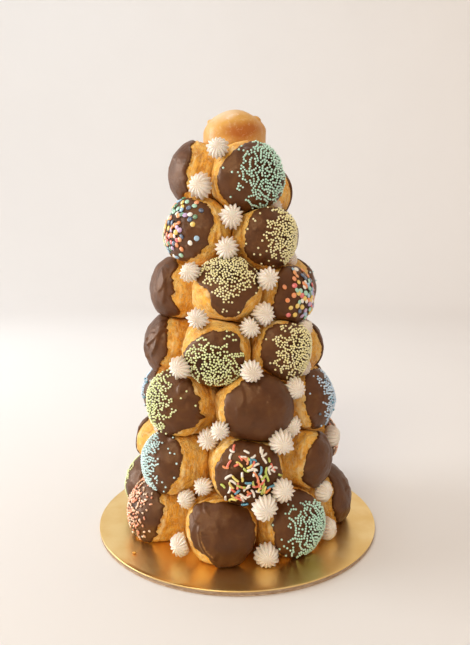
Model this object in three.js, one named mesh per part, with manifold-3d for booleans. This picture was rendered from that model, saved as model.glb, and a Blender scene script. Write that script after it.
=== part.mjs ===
// A croquembouche on its gold cake board: a hollow cone of choux buns laid in rings like
// bricks, most of them dipped in chocolate and sugar sprinkles, with a bare bun on top
// and piped cream stars in the gaps.
// Millimetres, +Z up. The origin is the centre of the board's underside. A bearing is
// counted in degrees from the front (-Y), positive towards +X.
import * as THREE from "three";
import Module from "manifold-3d";
import { mergeVertices } from "three/addons/utils/BufferGeometryUtils.js";

const wasm = await Module();
wasm.setup();

// ---- Driving dimensions ----

const BOARD = { radius: 115, thickness: 4, sides: 60 };
const GAP = 0.3; // clear space kept between neighbouring pieces
const LEAN = -0.0075; // sideways lean of the tower's axis towards +X, in mm for each mm up

// A bun's depths are shares of its half width.
const BUN = {
  domeDepth: 0.8,
  backDepth: 1.1,
  backSquareness: 3.2,
  backSwell: 0.16, // how much fuller the pressed back is than the face
  baseDepth: 0.98, // the flat it was baked on
  topDepth: 0.72, // the dome of the bare bun on top
  lumps: 0.013,
  softness: 0.9, // rounding where it presses on a neighbour, in mm
  steps: 12,
  fullness: 1.012, // makes up for the flats between the points
};
const DIP = { thickness: 1.1, waviness: 0.05, lip: 1.6 };
const STAR = { radius: 8.6, height: 7.6, foot: 7, root: 5, ridges: 8, valley: 0.78, room: 0.8 };
const JIMMY = { length: 6.2, width: 1.6 };
const CONFETTI = { radius: 1.9, rim: 1.3, height: 1.6, sides: 5 };

// A bun: bearing, half width, what it is dressed with, and how far its face turns aside
// and tilts up, the bun is lifted and set in from the ring, and the chocolate reaches.
const USUAL = { turn: 0, tilt: 8, lift: 0, inset: 0, dip: 72 };
const bun = (bearing, half, dress, own = {}) => ({ bearing, half, dress, ...USUAL, ...own });

// The rings from the board up: the bun centres' height and distance from the axis.
const RINGS = [
  {
    height: 23,
    radius: 73,
    buns: [
      bun(-98, 25, "lime", { turn: 18, lift: 3, inset: -3.5 }),
      bun(-60, 25.5, "coral", { tilt: 15 }),
      bun(-9, 26, "plain", { turn: 9.5, tilt: 13, lift: 1 }),
      bun(33.5, 25.5, "mint", { turn: -3, tilt: 11, lift: 2 }),
      bun(84, 26.3, "plain", { turn: -5, tilt: 13, inset: -0.5 }),
      bun(129, 25.5, "lemon"),
      bun(174, 26, "plain", { turn: 5 }),
      bun(220, 25.5, "sky", { tilt: 12 }),
    ],
  },
  {
    height: 66,
    radius: 67,
    buns: [
      bun(-98, 24, "plain", { turn: -36, tilt: 14, inset: 3 }),
      bun(-48, 25.5, "aqua", { dip: 70 }),
      bun(6, 26.8, "rainbow", { tilt: 6, lift: 2.5, dip: 67 }),
      bun(54, 23.5, "plain", { turn: 10, tilt: -2 }),
      bun(98, 23.5, "coral", { turn: 6 }),
      bun(152, 25.5, "lime", { turn: -4, tilt: 12 }),
      bun(206, 25, "confetti", { turn: 4 }),
    ],
  },
  {
    height: 110,
    radius: 62,
    buns: [
      bun(-92, 23.5, "sky", { inset: 3.5 }),
      bun(-44, 26, "lime", { turn: 11, tilt: 11, lift: 2 }),
      bun(13, 27.5, "plain", { turn: 2, tilt: -3, lift: 2, dip: 78 }),
      bun(64, 24.5, "sky", { turn: -4 }),
      bun(115, 25, "plain", { turn: 4, tilt: 4 }),
      bun(166, 25, "lemon", { tilt: 12 }),
      bun(216, 24.5, "plain", { turn: -5 }),
    ],
  },
  {
    height: 152,
    radius: 55,
    buns: [
      bun(-75, 25, "plain", { turn: 4 }),
      bun(-15, 26, "lime", { turn: 9, tilt: -10, lift: -0.5, dip: 64 }),
      bun(37, 24.5, "lemon", { turn: -5, tilt: 2 }),
      bun(97, 24, "plain", { turn: 33, lift: -5, inset: 4 }),
      bun(152, 26, "rainbow", { turn: 3, tilt: 5, lift: 5 }),
      bun(226, 26, "mint", { turn: -4, lift: 4 }),
    ],
  },
  {
    height: 195,
    radius: 49,
    buns: [
      bun(-71, 25, "plain", { turn: 3, tilt: 4, lift: 2 }),
      bun(-7, 25.3, "lemon", { turn: 10, tilt: 22, lift: 2.5, dip: 67 }),
      bun(50, 24.5, "confetti", { turn: -5, tilt: 2, lift: -4.2, inset: 1 }),
      bun(111, 25.5, "aqua", { tilt: 4 }),
      bun(170, 25.5, "plain", { turn: 6, tilt: 12, lift: 4 }),
      bun(229, 25.5, "lemon", { turn: -3, lift: 4 }),
    ],
  },
  {
    height: 238,
    radius: 42.5,
    buns: [
      bun(-42, 26, "confetti", { turn: -2, tilt: 5, lift: 2, dip: 70 }),
      bun(32, 24.5, "lemon", { tilt: 0, lift: -3 }),
      bun(104, 24, "plain", { tilt: 6, inset: 10 }),
      bun(170, 25, "mint", { turn: 4 }),
      bun(240, 25, "lime", { turn: -5, tilt: 11 }),
    ],
  },
  {
    height: 281,
    radius: 35,
    buns: [
      bun(-66, 24, "plain", { turn: -3, tilt: 12, lift: 4.5, inset: 1 }),
      bun(16, 27, "mint", { turn: 2, tilt: -2, lift: -2.3 }),
      bun(122, 22, "plain", { turn: 16, lift: -8, inset: 3.5 }),
      bun(209, 25, "sky", { turn: 5, tilt: 10 }),
    ],
  },
];
const TOP = { ...bun(0, 24.5, "bare", { tilt: 90 }), height: 317 };

// The stars' bearings and heights, and for some the share of their radius that they keep
// clear and their size. The first ones stand on the board or fill the widest gaps and are
// pieces of their own. The others are piped on to the nearest bun.
const LOOSE_STARS = [
  [-28, 15.5, 0.4, 1.05], [14, 11, 0.65, 1.1], [56, 12, 1.0], [106, 14], [151, 14], [197, 14],
  [241, 14], [-30.5, 44, 0.65, 0.9], [21, 59, 0.5, 1.03], [8, 142], [-32.5, 142, 0.4, 1.03],
  [-29, 210, 0.6, 0.93], [21, 205.5, 0.65], [-6.5, 227, 0.65, 1.08], [-3, 249.5, 0.65, 1.1],
];
const PIPED_STARS = [
  [-19, 56.5, 0.8, 0.86], [12, 49.5, 0.65, 1.08], [54, 43.5, 0.5, 0.96], [125, 52], [179, 50],
  [236, 52], [-8.5, 100.5, 0.65, 0.87], [-18.5, 89, 0.65, 1.05], [33, 98.5, 0.2, 0.94],
  [22.5, 91.5, 0.65, 1.1], [79, 76, 0.5, 1.05], [-63.5, 89.5, 0.1], [140, 96], [191, 94],
  [242, 97], [54.5, 137, 0, 0.85], [35.5, 126, 0.4], [123, 138], [189, 137], [243, 139, 0.3, 0.85],
  [240, 128], [19, 180, 0.65, 1.08], [9, 170.5, 0.65, 0.92], [-22, 178, 0.7, 0.95],
  [56, 167, 0.1, 0.88], [140, 183], [199, 180], [243, 182, 0.3, 0.85], [64.5, 219.5, 0, 0.9],
  [139, 222], [205, 220], [236, 212, 0.2, 0.85], [139, 253], [205, 253], [-29.5, 272, 0.8, 1.15],
  [47.5, 258.5, 0, 0.85], [166, 268], [238, 268, 0.3, 0.85], [-13.5, 297.5, 0.65, 0.96],
  [166, 298], [251, 297],
];

const COLOURS = {
  choux: { color: 0xc8893a, roughness: 0.62 },
  chocolate: { color: 0x4a2a1a, roughness: 0.42 },
  cream: { color: 0xefe3d0, roughness: 0.5 },
  gold: { color: 0xd8b060, roughness: 0.32, metalness: 0.9 },
};
// How many large sprinkles a dipped bun carries; finer ones are too small for solids.
const SPRINKLED = { rainbow: 20, confetti: 13 };
const HELD = 0.2; // the least share of a sprinkle that has to sit in the chocolate

// ---- Small tools ----

const radians = THREE.MathUtils.degToRad;

/** A repeatable number from -1 to 1 for a piece's seed and a counter. */
function jitter(seed, count) {
  const value = Math.sin(seed * 12.9898 + count * 78.233) * 43758.5453;
  return 2 * (value - Math.floor(value)) - 1;
}

/** The point at a bearing, a distance from the tower's leaning axis and a height. */
function place(bearing, distance, height) {
  const angle = radians(bearing);
  const x = LEAN * height + distance * Math.sin(angle);
  return new THREE.Vector3(x, -distance * Math.cos(angle), height);
}

/** The directions across, up and out of a face that looks along a bearing and tilt. */
function facing(bearing, tilt) {
  const angle = radians(bearing);
  const rise = radians(tilt);
  const out = new THREE.Vector3(
    Math.sin(angle) * Math.cos(rise),
    -Math.cos(angle) * Math.cos(rise),
    Math.sin(rise),
  );
  const across = new THREE.Vector3(Math.cos(angle), Math.sin(angle), 0);
  return { across, up: new THREE.Vector3().crossVectors(out, across), out };
}

/** The direction at an angle from a frame's out axis and a turn round it. */
function direction(frame, angle, turn) {
  return new THREE.Vector3()
    .addScaledVector(frame.out, Math.cos(angle))
    .addScaledVector(frame.across, Math.sin(angle) * Math.cos(turn))
    .addScaledVector(frame.up, Math.sin(angle) * Math.sin(turn));
}

/** A closed surface from a front pole, rings of equally many points and a back pole. */
function ringed(front, rings, back) {
  const steps = rings[0].length;
  const points = [front, ...rings.flat(), back];
  const last = points.length - 1;
  const index = [];
  for (let k = 0; k < steps; k += 1) {
    const next = (k + 1) % steps;
    index.push(0, 1 + k, 1 + next);
    for (let ring = 0; ring + 1 < rings.length; ring += 1) {
      const a = 1 + ring * steps;
      const b = a + steps;
      index.push(a + k, b + k, b + next, a + k, b + next, a + next);
    }
    index.push(last, last - steps + next, last - steps + k);
  }
  const geometry = new THREE.BufferGeometry().setFromPoints(points);
  return geometry.setIndex(index);
}

/** A three.js geometry as a solid that can be joined. */
function solid(geometry) {
  const bare = geometry.clone();
  bare.deleteAttribute("normal");
  bare.deleteAttribute("uv");
  const merged = mergeVertices(bare, 1e-4);
  return new wasm.Manifold(
    new wasm.Mesh({
      numProp: 3,
      vertProperties: merged.attributes.position.array,
      triVerts: new Uint32Array(merged.index.array),
    }),
  );
}

/** The geometry of a joined solid. */
function geometryOf(shape) {
  const mesh = shape.getMesh();
  const positions = new THREE.BufferAttribute(mesh.vertProperties, 3);
  const geometry = new THREE.BufferGeometry().setAttribute("position", positions);
  return geometry.setIndex(new THREE.BufferAttribute(mesh.triVerts, 1));
}

/** The largest body of a solid, without the specks that joining can leave. */
function whole(shape) {
  return shape.decompose().sort((a, b) => b.volume() - a.volume())[0];
}

/** A named mesh of one finish at its place. */
function piece(name, geometry, finish, centre) {
  geometry.computeVertexNormals();
  const mesh = new THREE.Mesh(geometry, new THREE.MeshStandardMaterial(COLOURS[finish]));
  mesh.name = name;
  mesh.position.copy(centre);
  return mesh;
}

// ---- Buns ----

/** Every bun with its name, seed, centre and frame, the top one last. */
function layOut() {
  const buns = RINGS.flatMap((ring, level) =>
    ring.buns.map((one, place_) => ({
      ...one,
      name: `bun_${level + 1}_${place_ + 1}`,
      seed: 10 * level + place_ + 1,
      centre: place(one.bearing, ring.radius - one.inset, ring.height + one.lift),
      ...facing(one.bearing + one.turn, one.tilt),
    })),
  );
  buns.push({
    ...TOP,
    name: "top_bun",
    seed: 71,
    centre: place(TOP.bearing, 0, TOP.height),
    ...facing(TOP.bearing, TOP.tilt),
  });
  return buns;
}

/** How far a lone bun reaches from its centre in a direction. */
function freeReach(one, way) {
  const x = way.dot(one.across);
  const y = way.dot(one.up);
  const z = way.dot(one.out);
  const side = Math.hypot(x, y) / one.half;
  const dome = one.dress === "bare" ? BUN.topDepth : BUN.domeDepth;
  const depth = Math.abs(z) / (one.half * (z > 0 ? dome : BUN.backDepth));
  const power = z > 0 ? 2 : BUN.backSquareness;
  const even = (side ** power + depth ** power) ** (-1 / power);
  const lump =
    Math.sin(3.5 * x + 2 * y + one.seed) +
    Math.sin(4 * y - 2 * z + 2.3 * one.seed) +
    Math.sin(3 * z + 3 * x + 3.7 * one.seed);
  const behind = THREE.MathUtils.smoothstep(-z, 0.2, 0.7);
  return even * (BUN.fullness + BUN.backSwell * behind + BUN.lumps * lump);
}

/** A bun's reach in a direction, pressed flat where it meets what is round it. */
function reach(one, way, coat = 0) {
  let sum = Math.exp(-(freeReach(one, way) + coat) / BUN.softness);
  for (const { normal, distance } of one.contacts) {
    const towards = way.dot(normal);
    if (towards > 0.02) sum += Math.exp(-distance / towards / BUN.softness);
  }
  return -BUN.softness * Math.log(sum);
}

/** The planes that a bun is pressed against: its baked base, the board and its neighbours. */
function contactsOf(one, buns) {
  const contacts = [
    { normal: one.out.clone().negate(), distance: BUN.baseDepth * one.half },
    {
      normal: new THREE.Vector3(0, 0, -1),
      distance: one.centre.z - BOARD.thickness - GAP,
    },
  ];
  for (const other of buns) {
    const apart = other.centre.distanceTo(one.centre);
    if (other === one || apart > one.half + other.half + 12) continue;
    const normal = other.centre.clone().sub(one.centre).normalize();
    const share = (apart ** 2 + one.half ** 2 - other.half ** 2) / (2 * apart);
    contacts.push({ normal, distance: share - GAP / 2 });
  }
  return contacts;
}

/** The angle from a bun's out axis at which its chocolate ends, at a turn round it. */
function dipEdge(one, turn) {
  const wave =
    Math.sin(2 * turn + one.seed) +
    0.8 * Math.sin(3 * turn + 2.1 * one.seed) +
    0.5 * Math.sin(5 * turn + 3.3 * one.seed);
  return radians(one.dip) * (1 + DIP.waviness * wave);
}

/** A bun's body, with the chocolate as a raised cap unless it is bare. */
function bunBody(one) {
  const dipped = one.dress !== "bare";
  const coat = dipped ? DIP.thickness : 0;
  const lip = DIP.lip / one.half;
  const past = (share) => (turn) => {
    const edge = dipEdge(one, turn) + lip;
    return edge + share * (radians(150) - edge);
  };
  const bands = [
    { angle: (turn) => 0.34 * dipEdge(one, turn), coat },
    { angle: (turn) => 0.68 * dipEdge(one, turn), coat },
    { angle: (turn) => dipEdge(one, turn), coat },
    { angle: past(0), coat: 0 },
    { angle: past(0.33), coat: 0 },
    { angle: past(0.72), coat: 0 },
  ];
  const at = (angle, turn, thick) => {
    const way = direction(one, angle, turn);
    return way.multiplyScalar(reach(one, way, thick - coat));
  };
  const rings = bands.map((band, row) =>
    Array.from({ length: BUN.steps }, (_, k) => {
      const turn = (2 * Math.PI * (k + row / 2)) / BUN.steps;
      return at(band.angle(turn), turn, band.coat);
    }),
  );
  return solid(ringed(at(0, 0, coat), rings, at(Math.PI, 0, 0)));
}

/** A sprinkle's solid, half sunk in the chocolate at a spot given from the bun's centre. */
function sprinkle(one, count, spot, way) {
  const shape =
    one.dress === "rainbow"
      ? new THREE.BoxGeometry(JIMMY.length, JIMMY.width, JIMMY.width)
      : new THREE.CylinderGeometry(
          CONFETTI.rim,
          CONFETTI.radius,
          CONFETTI.height,
          CONFETTI.sides,
        );
  shape.rotateY(Math.PI * jitter(one.seed, count + 500));
  shape.applyQuaternion(
    new THREE.Quaternion().setFromUnitVectors(new THREE.Vector3(0, 1, 0), way),
  );
  return solid(shape.translate(spot.x, spot.y, spot.z));
}

/** A bun's body with its large sprinkles, spread over the dip like seeds in a sunflower. */
function dressedBun(one) {
  let body = bunBody(one);
  const total = SPRINKLED[one.dress] ?? 0;
  for (let k = 0; k < total; k += 1) {
    const turn = 2.39996 * k + one.seed;
    const angle = 0.82 * dipEdge(one, turn) * Math.sqrt((k + 0.5) / total);
    const way = direction(one, angle, turn);
    const grain = sprinkle(one, k, way.clone().multiplyScalar(reach(one, way)), way);
    if (body.intersect(grain).volume() > HELD * grain.volume()) body = body.add(grain);
  }
  return body;
}

// ---- Cream stars ----

/** A ring radius for any height, between those of the rings above and below. */
function ringRadius(height) {
  const above = RINGS.findIndex((ring) => ring.height > height);
  if (above === 0) return RINGS[0].radius;
  if (above < 0) return RINGS.at(-1).radius * 0.7;
  const [low, high] = [RINGS[above - 1], RINGS[above]];
  const share = (height - low.height) / (high.height - low.height);
  return low.radius + share * (high.radius - low.radius);
}

/** How far a point lies outside a bun. */
function clearance(one, point) {
  const way = point.clone().sub(one.centre);
  const apart = way.length();
  return apart - reach(one, way.divideScalar(apart));
}

/** A star at the first spot out from the ring that leaves it room between the buns. */
function seat([bearing, height, room = STAR.room, size = 1], buns, name, seed) {
  const wanted = room * size * STAR.radius;
  let distance = ringRadius(height);
  let centre = place(bearing, distance, height);
  const nearest = () => Math.min(...buns.map((one) => clearance(one, centre)));
  while (nearest() < wanted) {
    distance += 0.5;
    centre = place(bearing, distance, height);
  }
  const turned = bearing - 14 * Math.sin((2 * bearing * Math.PI) / 180);
  const frame = facing(turned + 8 * jitter(seed, 1), 5 + 8 * jitter(seed, 2));
  return { name, seed, size, centre, ...frame };
}

/** The planes that keep a star clear of the board, the buns and the other stars. */
function starLimits(star, buns, stars) {
  const limits = [
    {
      normal: new THREE.Vector3(0, 0, -1),
      distance: star.centre.z - BOARD.thickness - GAP,
    },
  ];
  for (const one of buns) {
    const way = star.centre.clone().sub(one.centre).normalize();
    const touch = one.centre.clone().addScaledVector(way, reach(one, way, GAP));
    const steps = [one.across, one.up, one.out].map((axis) => {
      const aside = way.clone().addScaledVector(axis, 0.04).normalize();
      return aside.multiplyScalar(reach(one, aside, GAP)).add(one.centre).sub(touch);
    });
    const normal = tangentNormal(steps, way);
    const distance = touch.clone().sub(star.centre).dot(normal);
    if (distance < 2 * STAR.radius) limits.push({ normal, distance });
  }
  for (const other of stars) {
    const apart = other.centre.distanceTo(star.centre);
    if (other === star || apart > 2.4 * STAR.radius) continue;
    const normal = other.centre.clone().sub(star.centre).divideScalar(apart);
    limits.push({ normal, distance: (apart - GAP) / 2 });
  }
  return limits;
}

/** The normal into a bun of the plane that best spans three steps along its surface. */
function tangentNormal(steps, way) {
  const crosses = [
    new THREE.Vector3().crossVectors(steps[0], steps[1]),
    new THREE.Vector3().crossVectors(steps[1], steps[2]),
    new THREE.Vector3().crossVectors(steps[2], steps[0]),
  ];
  const largest = crosses.sort((a, b) => b.lengthSq() - a.lengthSq())[0].normalize();
  return largest.dot(way) > 0 ? largest.negate() : largest;
}

/** A piped star: a ridged dome with a slight swirl over a foot that runs into the gap. */
function starBody(star, limits) {
  const held = (offset) => {
    let share = 1;
    for (const { normal, distance } of limits) {
      const towards = offset.dot(normal);
      if (towards > distance) share = Math.min(share, distance / towards);
    }
    return offset.multiplyScalar(share);
  };
  const at = (radius, turn, depth) =>
    held(
      new THREE.Vector3()
        .addScaledVector(star.across, radius * Math.cos(turn))
        .addScaledVector(star.up, radius * Math.sin(turn))
        .addScaledVector(star.out, depth),
    );
  const size = STAR.radius * star.size;
  const height = STAR.height * star.size;
  const swirl = 0.3 * jitter(star.seed, 4);
  const rim = [];
  const shoulder = [];
  for (let k = 0; k < 2 * STAR.ridges; k += 1) {
    const turn = (Math.PI * k) / STAR.ridges + star.seed;
    const ridge = k % 2 === 0;
    rim.push(at(size * (ridge ? 1 : STAR.valley), turn, 0));
    shoulder.push(at(size * (ridge ? 0.62 : 0.5), turn + swirl, 0.62 * height));
  }
  const foot = star.host ? rootIn(star) : at(0, 0, -STAR.foot);
  return solid(ringed(at(0, 0, height), [shoulder, rim], foot));
}

/** Where a piped star's foot ends, a little way inside the bun that carries it. */
function rootIn(star) {
  const depth = clearance(star.host, star.centre) + STAR.root;
  return star.host.centre.clone().sub(star.centre).setLength(depth);
}

// ---- The whole tower ----

const buns = layOut();
for (const one of buns) one.contacts = contactsOf(one, buns);

const loose = LOOSE_STARS.map((spot, k) =>
  seat(spot, buns, `cream_star_${k + 1}`, 101 + k),
);
const piped = PIPED_STARS.map((spot, k) =>
  seat(spot, buns, `piped_star_${k + 1}`, 201 + k),
);
const stars = [...loose, ...piped];
for (const star of piped) {
  star.host = buns.reduce((best, one) =>
    clearance(one, star.centre) < clearance(best, star.centre) ? one : best,
  );
}

const croquembouche = new THREE.Group();
croquembouche.name = "croquembouche";

const disc = new THREE.CylinderGeometry(
  BOARD.radius,
  BOARD.radius,
  BOARD.thickness,
  BOARD.sides,
).rotateX(Math.PI / 2);
const boardCentre = new THREE.Vector3(0, 0, BOARD.thickness / 2);
croquembouche.add(piece("cake_board", disc, "gold", boardCentre));

for (const one of buns) {
  let body = dressedBun(one);
  for (const star of piped.filter(({ host }) => host === one)) {
    const others = buns.filter((other) => other !== one);
    const cream = starBody(star, starLimits(star, others, stars));
    body = body.add(cream.translate(...star.centre.clone().sub(one.centre).toArray()));
  }
  const finish = one.dress === "bare" ? "choux" : "chocolate";
  croquembouche.add(piece(one.name, geometryOf(whole(body)), finish, one.centre));
}

for (const star of loose) {
  const body = starBody(star, starLimits(star, buns, stars));
  croquembouche.add(piece(star.name, geometryOf(body), "cream", star.centre));
}

export default croquembouche;
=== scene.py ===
"""A croquembouche in full dress: choux crust, chocolate, sugar, cream and gold foil.

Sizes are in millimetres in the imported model's frame (+Z up, -Y to the front) and become
metres where a mesh is made. A bearing is counted in degrees from the front, positive
towards +X. A bun's own frame has x across, y up and z out of its chocolate face.
"""

import logging
import math
from dataclasses import dataclass, field
from enum import Enum
from itertools import combinations, product
from typing import Iterable, Sequence

import bpy
import numpy as np
from mathutils import Matrix


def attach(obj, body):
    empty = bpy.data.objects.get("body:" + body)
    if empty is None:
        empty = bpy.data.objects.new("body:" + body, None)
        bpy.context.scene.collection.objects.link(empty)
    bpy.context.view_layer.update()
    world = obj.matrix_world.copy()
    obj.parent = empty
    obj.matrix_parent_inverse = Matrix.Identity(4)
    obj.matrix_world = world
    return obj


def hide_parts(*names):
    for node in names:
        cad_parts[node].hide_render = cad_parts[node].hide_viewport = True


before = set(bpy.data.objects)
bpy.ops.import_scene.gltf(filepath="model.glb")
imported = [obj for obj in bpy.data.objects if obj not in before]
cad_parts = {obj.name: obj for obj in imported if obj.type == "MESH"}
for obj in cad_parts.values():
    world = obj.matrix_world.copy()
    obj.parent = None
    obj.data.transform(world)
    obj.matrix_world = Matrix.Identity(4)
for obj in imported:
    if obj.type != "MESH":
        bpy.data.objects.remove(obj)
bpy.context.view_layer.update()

log = logging.getLogger("croquembouche")

Array = np.ndarray
Triple = tuple[float, float, float]
Colour = tuple[float, float, float, float]
Socket = bpy.types.NodeSocket
Material = bpy.types.Material
Stops = Sequence[tuple[float, Colour]]

MM = 0.001
GOLDEN_ANGLE = 2.39996
DOWN = np.array((0.0, 0.0, -1.0))
AHEAD = np.array((0.0, 0.0, 1.0))
NEIGHBOURS = tuple(product((-1, 0, 1), repeat=3))

# Whole numbers that stir the noise.
HASH_STEPS = (374761393, 668265263, 1442695041)
HASH_SEED = 974711
HASH_STIR = 1274126177
LOW_BITS = 0xFFFFFFFF


# ---- The tower's driving dimensions ----


class Dress(Enum):
    """What a bun is dressed with."""

    BARE = "bare"
    PLAIN = "plain"
    MINT = "mint"
    LEMON = "lemon"
    LIME = "lime"
    SKY = "sky"
    AQUA = "aqua"
    CORAL = "coral"
    RAINBOW = "rainbow"
    CONFETTI = "confetti"


@dataclass(frozen=True)
class Spot:
    """Where a bun sits in its ring, and how it is turned, tilted, moved and dipped."""

    bearing: float
    half: float
    dress: Dress
    turn: float = 0.0
    tilt: float = 8.0
    lift: float = 0.0
    inset: float = 0.0
    dip: float = 72.0


@dataclass(frozen=True)
class Ring:
    """A ring of buns: the height of their centres, its radius and the buns."""

    height: float
    radius: float
    spots: tuple[Spot, ...]


RINGS = (
    Ring(23, 73, (
        Spot(-98, 25, Dress.LIME, turn=18, lift=3, inset=-3.5),
        Spot(-60, 25.5, Dress.CORAL, tilt=15),
        Spot(-9, 26, Dress.PLAIN, turn=9.5, tilt=13, lift=1),
        Spot(33.5, 25.5, Dress.MINT, turn=-3, tilt=11, lift=2),
        Spot(84, 26.3, Dress.PLAIN, turn=-5, tilt=13, inset=-0.5),
        Spot(129, 25.5, Dress.LEMON),
        Spot(174, 26, Dress.PLAIN, turn=5),
        Spot(220, 25.5, Dress.SKY, tilt=12),
    )),
    Ring(66, 67, (
        Spot(-98, 24, Dress.PLAIN, turn=-36, tilt=14, inset=3),
        Spot(-48, 25.5, Dress.AQUA, dip=70),
        Spot(6, 26.8, Dress.RAINBOW, tilt=6, lift=2.5, dip=67),
        Spot(54, 23.5, Dress.PLAIN, turn=10, tilt=-2),
        Spot(98, 23.5, Dress.CORAL, turn=6),
        Spot(152, 25.5, Dress.LIME, turn=-4, tilt=12),
        Spot(206, 25, Dress.CONFETTI, turn=4),
    )),
    Ring(110, 62, (
        Spot(-92, 23.5, Dress.SKY, inset=3.5),
        Spot(-44, 26, Dress.LIME, turn=11, tilt=11, lift=2),
        Spot(13, 27.5, Dress.PLAIN, turn=2, tilt=-3, lift=2, dip=78),
        Spot(64, 24.5, Dress.SKY, turn=-4),
        Spot(115, 25, Dress.PLAIN, turn=4, tilt=4),
        Spot(166, 25, Dress.LEMON, tilt=12),
        Spot(216, 24.5, Dress.PLAIN, turn=-5),
    )),
    Ring(152, 55, (
        Spot(-75, 25, Dress.PLAIN, turn=4),
        Spot(-15, 26, Dress.LIME, turn=9, tilt=-10, lift=-0.5, dip=64),
        Spot(37, 24.5, Dress.LEMON, turn=-5, tilt=2),
        Spot(97, 24, Dress.PLAIN, turn=33, lift=-5, inset=4),
        Spot(152, 26, Dress.RAINBOW, turn=3, tilt=5, lift=5),
        Spot(226, 26, Dress.MINT, turn=-4, lift=4),
    )),
    Ring(195, 49, (
        Spot(-71, 25, Dress.PLAIN, turn=3, tilt=4, lift=2),
        Spot(-7, 25.3, Dress.LEMON, turn=10, tilt=22, lift=2.5, dip=67),
        Spot(50, 24.5, Dress.CONFETTI, turn=-5, tilt=2, lift=-4.2, inset=1),
        Spot(111, 25.5, Dress.AQUA, tilt=4),
        Spot(170, 25.5, Dress.PLAIN, turn=6, tilt=12, lift=4),
        Spot(229, 25.5, Dress.LEMON, turn=-3, lift=4),
    )),
    Ring(238, 42.5, (
        Spot(-42, 26, Dress.CONFETTI, turn=-2, tilt=5, lift=2, dip=70),
        Spot(32, 24.5, Dress.LEMON, tilt=0, lift=-3),
        Spot(104, 24, Dress.PLAIN, tilt=6, inset=10),
        Spot(170, 25, Dress.MINT, turn=4),
        Spot(240, 25, Dress.LIME, turn=-5, tilt=11),
    )),
    Ring(281, 35, (
        Spot(-66, 24, Dress.PLAIN, turn=-3, tilt=12, lift=4.5, inset=1),
        Spot(16, 27, Dress.MINT, turn=2, tilt=-2, lift=-2.3),
        Spot(122, 22, Dress.PLAIN, turn=16, lift=-8, inset=3.5),
        Spot(209, 25, Dress.SKY, turn=5, tilt=10),
    )),
)
TOP_SPOT = Spot(0, 24.5, Dress.BARE, tilt=90)
TOP_HEIGHT = 317.0
TOP_SEED = 71

# Bearing, height and, for some, the share of their radius that they keep clear and their
# size as a share.
LOOSE_STARS = (
    (-28, 15.5, 0.4, 1.05), (14, 11, 0.65, 1.1), (56, 12, 1.0), (106, 14), (151, 14), (197, 14),
    (241, 14), (-30.5, 44, 0.65, 0.9), (21, 59, 0.5, 1.03), (8, 142), (-32.5, 142, 0.4, 1.03),
    (-29, 210, 0.6, 0.93), (21, 205.5, 0.65), (-6.5, 227, 0.65, 1.08), (-3, 249.5, 0.65, 1.1),
)
PIPED_STARS = (
    (-19, 56.5, 0.8, 0.86), (12, 49.5, 0.65, 1.08), (54, 43.5, 0.5, 0.96), (125, 52), (179, 50),
    (236, 52), (-8.5, 100.5, 0.65, 0.87), (-18.5, 89, 0.65, 1.05), (33, 98.5, 0.2, 0.94),
    (22.5, 91.5, 0.65, 1.1), (79, 76, 0.5, 1.05), (-63.5, 89.5, 0.1), (140, 96), (191, 94),
    (242, 97), (54.5, 137, 0, 0.85), (35.5, 126, 0.4), (123, 138), (189, 137),
    (243, 139, 0.3, 0.85), (240, 128), (19, 180, 0.65, 1.08), (9, 170.5, 0.65, 0.92),
    (-22, 178, 0.7, 0.95), (56, 167, 0.1, 0.88), (140, 183), (199, 180), (243, 182, 0.3, 0.85),
    (64.5, 219.5, 0, 0.9), (139, 222), (205, 220), (236, 212, 0.2, 0.85), (139, 253), (205, 253),
    (-29.5, 272, 0.8, 1.15), (47.5, 258.5, 0, 0.85), (166, 268), (238, 268, 0.3, 0.85),
    (-13.5, 297.5, 0.65, 0.96), (166, 298), (251, 297),
)

# The axis leans aside by a share of the height, and neighbours keep a gap.
LEAN = -0.0075
GAP = 0.3
BOARD_RADIUS = 115.0
BOARD_THICKNESS = 4.0


# ---- Small tools ----


def linear(code: str) -> Colour:
    """The colour of a six-digit hexadecimal code, ready for a shader.

    Args:
        code: Red, green and blue as two hexadecimal digits each.

    Returns:
        Its linear red, green and blue, with full opacity.
    """
    channels = [int(code[k : k + 2], 16) / 255 for k in (0, 2, 4)]
    low = [c / 12.92 if c <= 0.04045 else ((c + 0.055) / 1.055) ** 2.4 for c in channels]
    return (low[0], low[1], low[2], 1.0)


def jitter(seed: float, count: float) -> float:
    """A repeatable number from -1 to 1 for a piece's seed and a counter."""
    value = math.sin(seed * 12.9898 + count * 78.233) * 43758.5453
    return 2 * (value - math.floor(value)) - 1


def place(bearing: float, distance: float, height: float) -> Array:
    """The point at a bearing, a distance from the leaning axis and a height.

    Args:
        bearing: Degrees from the front.
        distance: The distance from the axis.
        height: The height.

    Returns:
        The point.
    """
    angle = math.radians(bearing)
    x = LEAN * height + distance * math.sin(angle)
    return np.array((x, -distance * math.cos(angle), height))


def unit(vectors: Array) -> Array:
    """The vectors at length one."""
    return vectors / np.linalg.norm(vectors, axis=-1, keepdims=True)


def eased(share: Array) -> Array:
    """Shares from 0 to 1 with a soft start and end."""
    return share * share * (3 - 2 * share)


def bell(away: Array) -> Array:
    """A bell curve: 1 in its middle, falling off at a distance of one."""
    return np.exp(-(away**2))


def around(count: int) -> Array:
    """Equally spaced turns round a circle, in radians."""
    return np.linspace(0, 2 * np.pi, count, endpoint=False)


def sphere_ways(angles: Array, turns: Array) -> Array:
    """Directions at angles from the z axis and turns round it.

    Args:
        angles: Angles from the z axis, in radians.
        turns: Turns round it from x, in radians.

    Returns:
        Vectors of length one.
    """
    return np.stack(
        (np.sin(angles) * np.cos(turns), np.sin(angles) * np.sin(turns), np.cos(angles)),
        axis=-1,
    )


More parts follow.
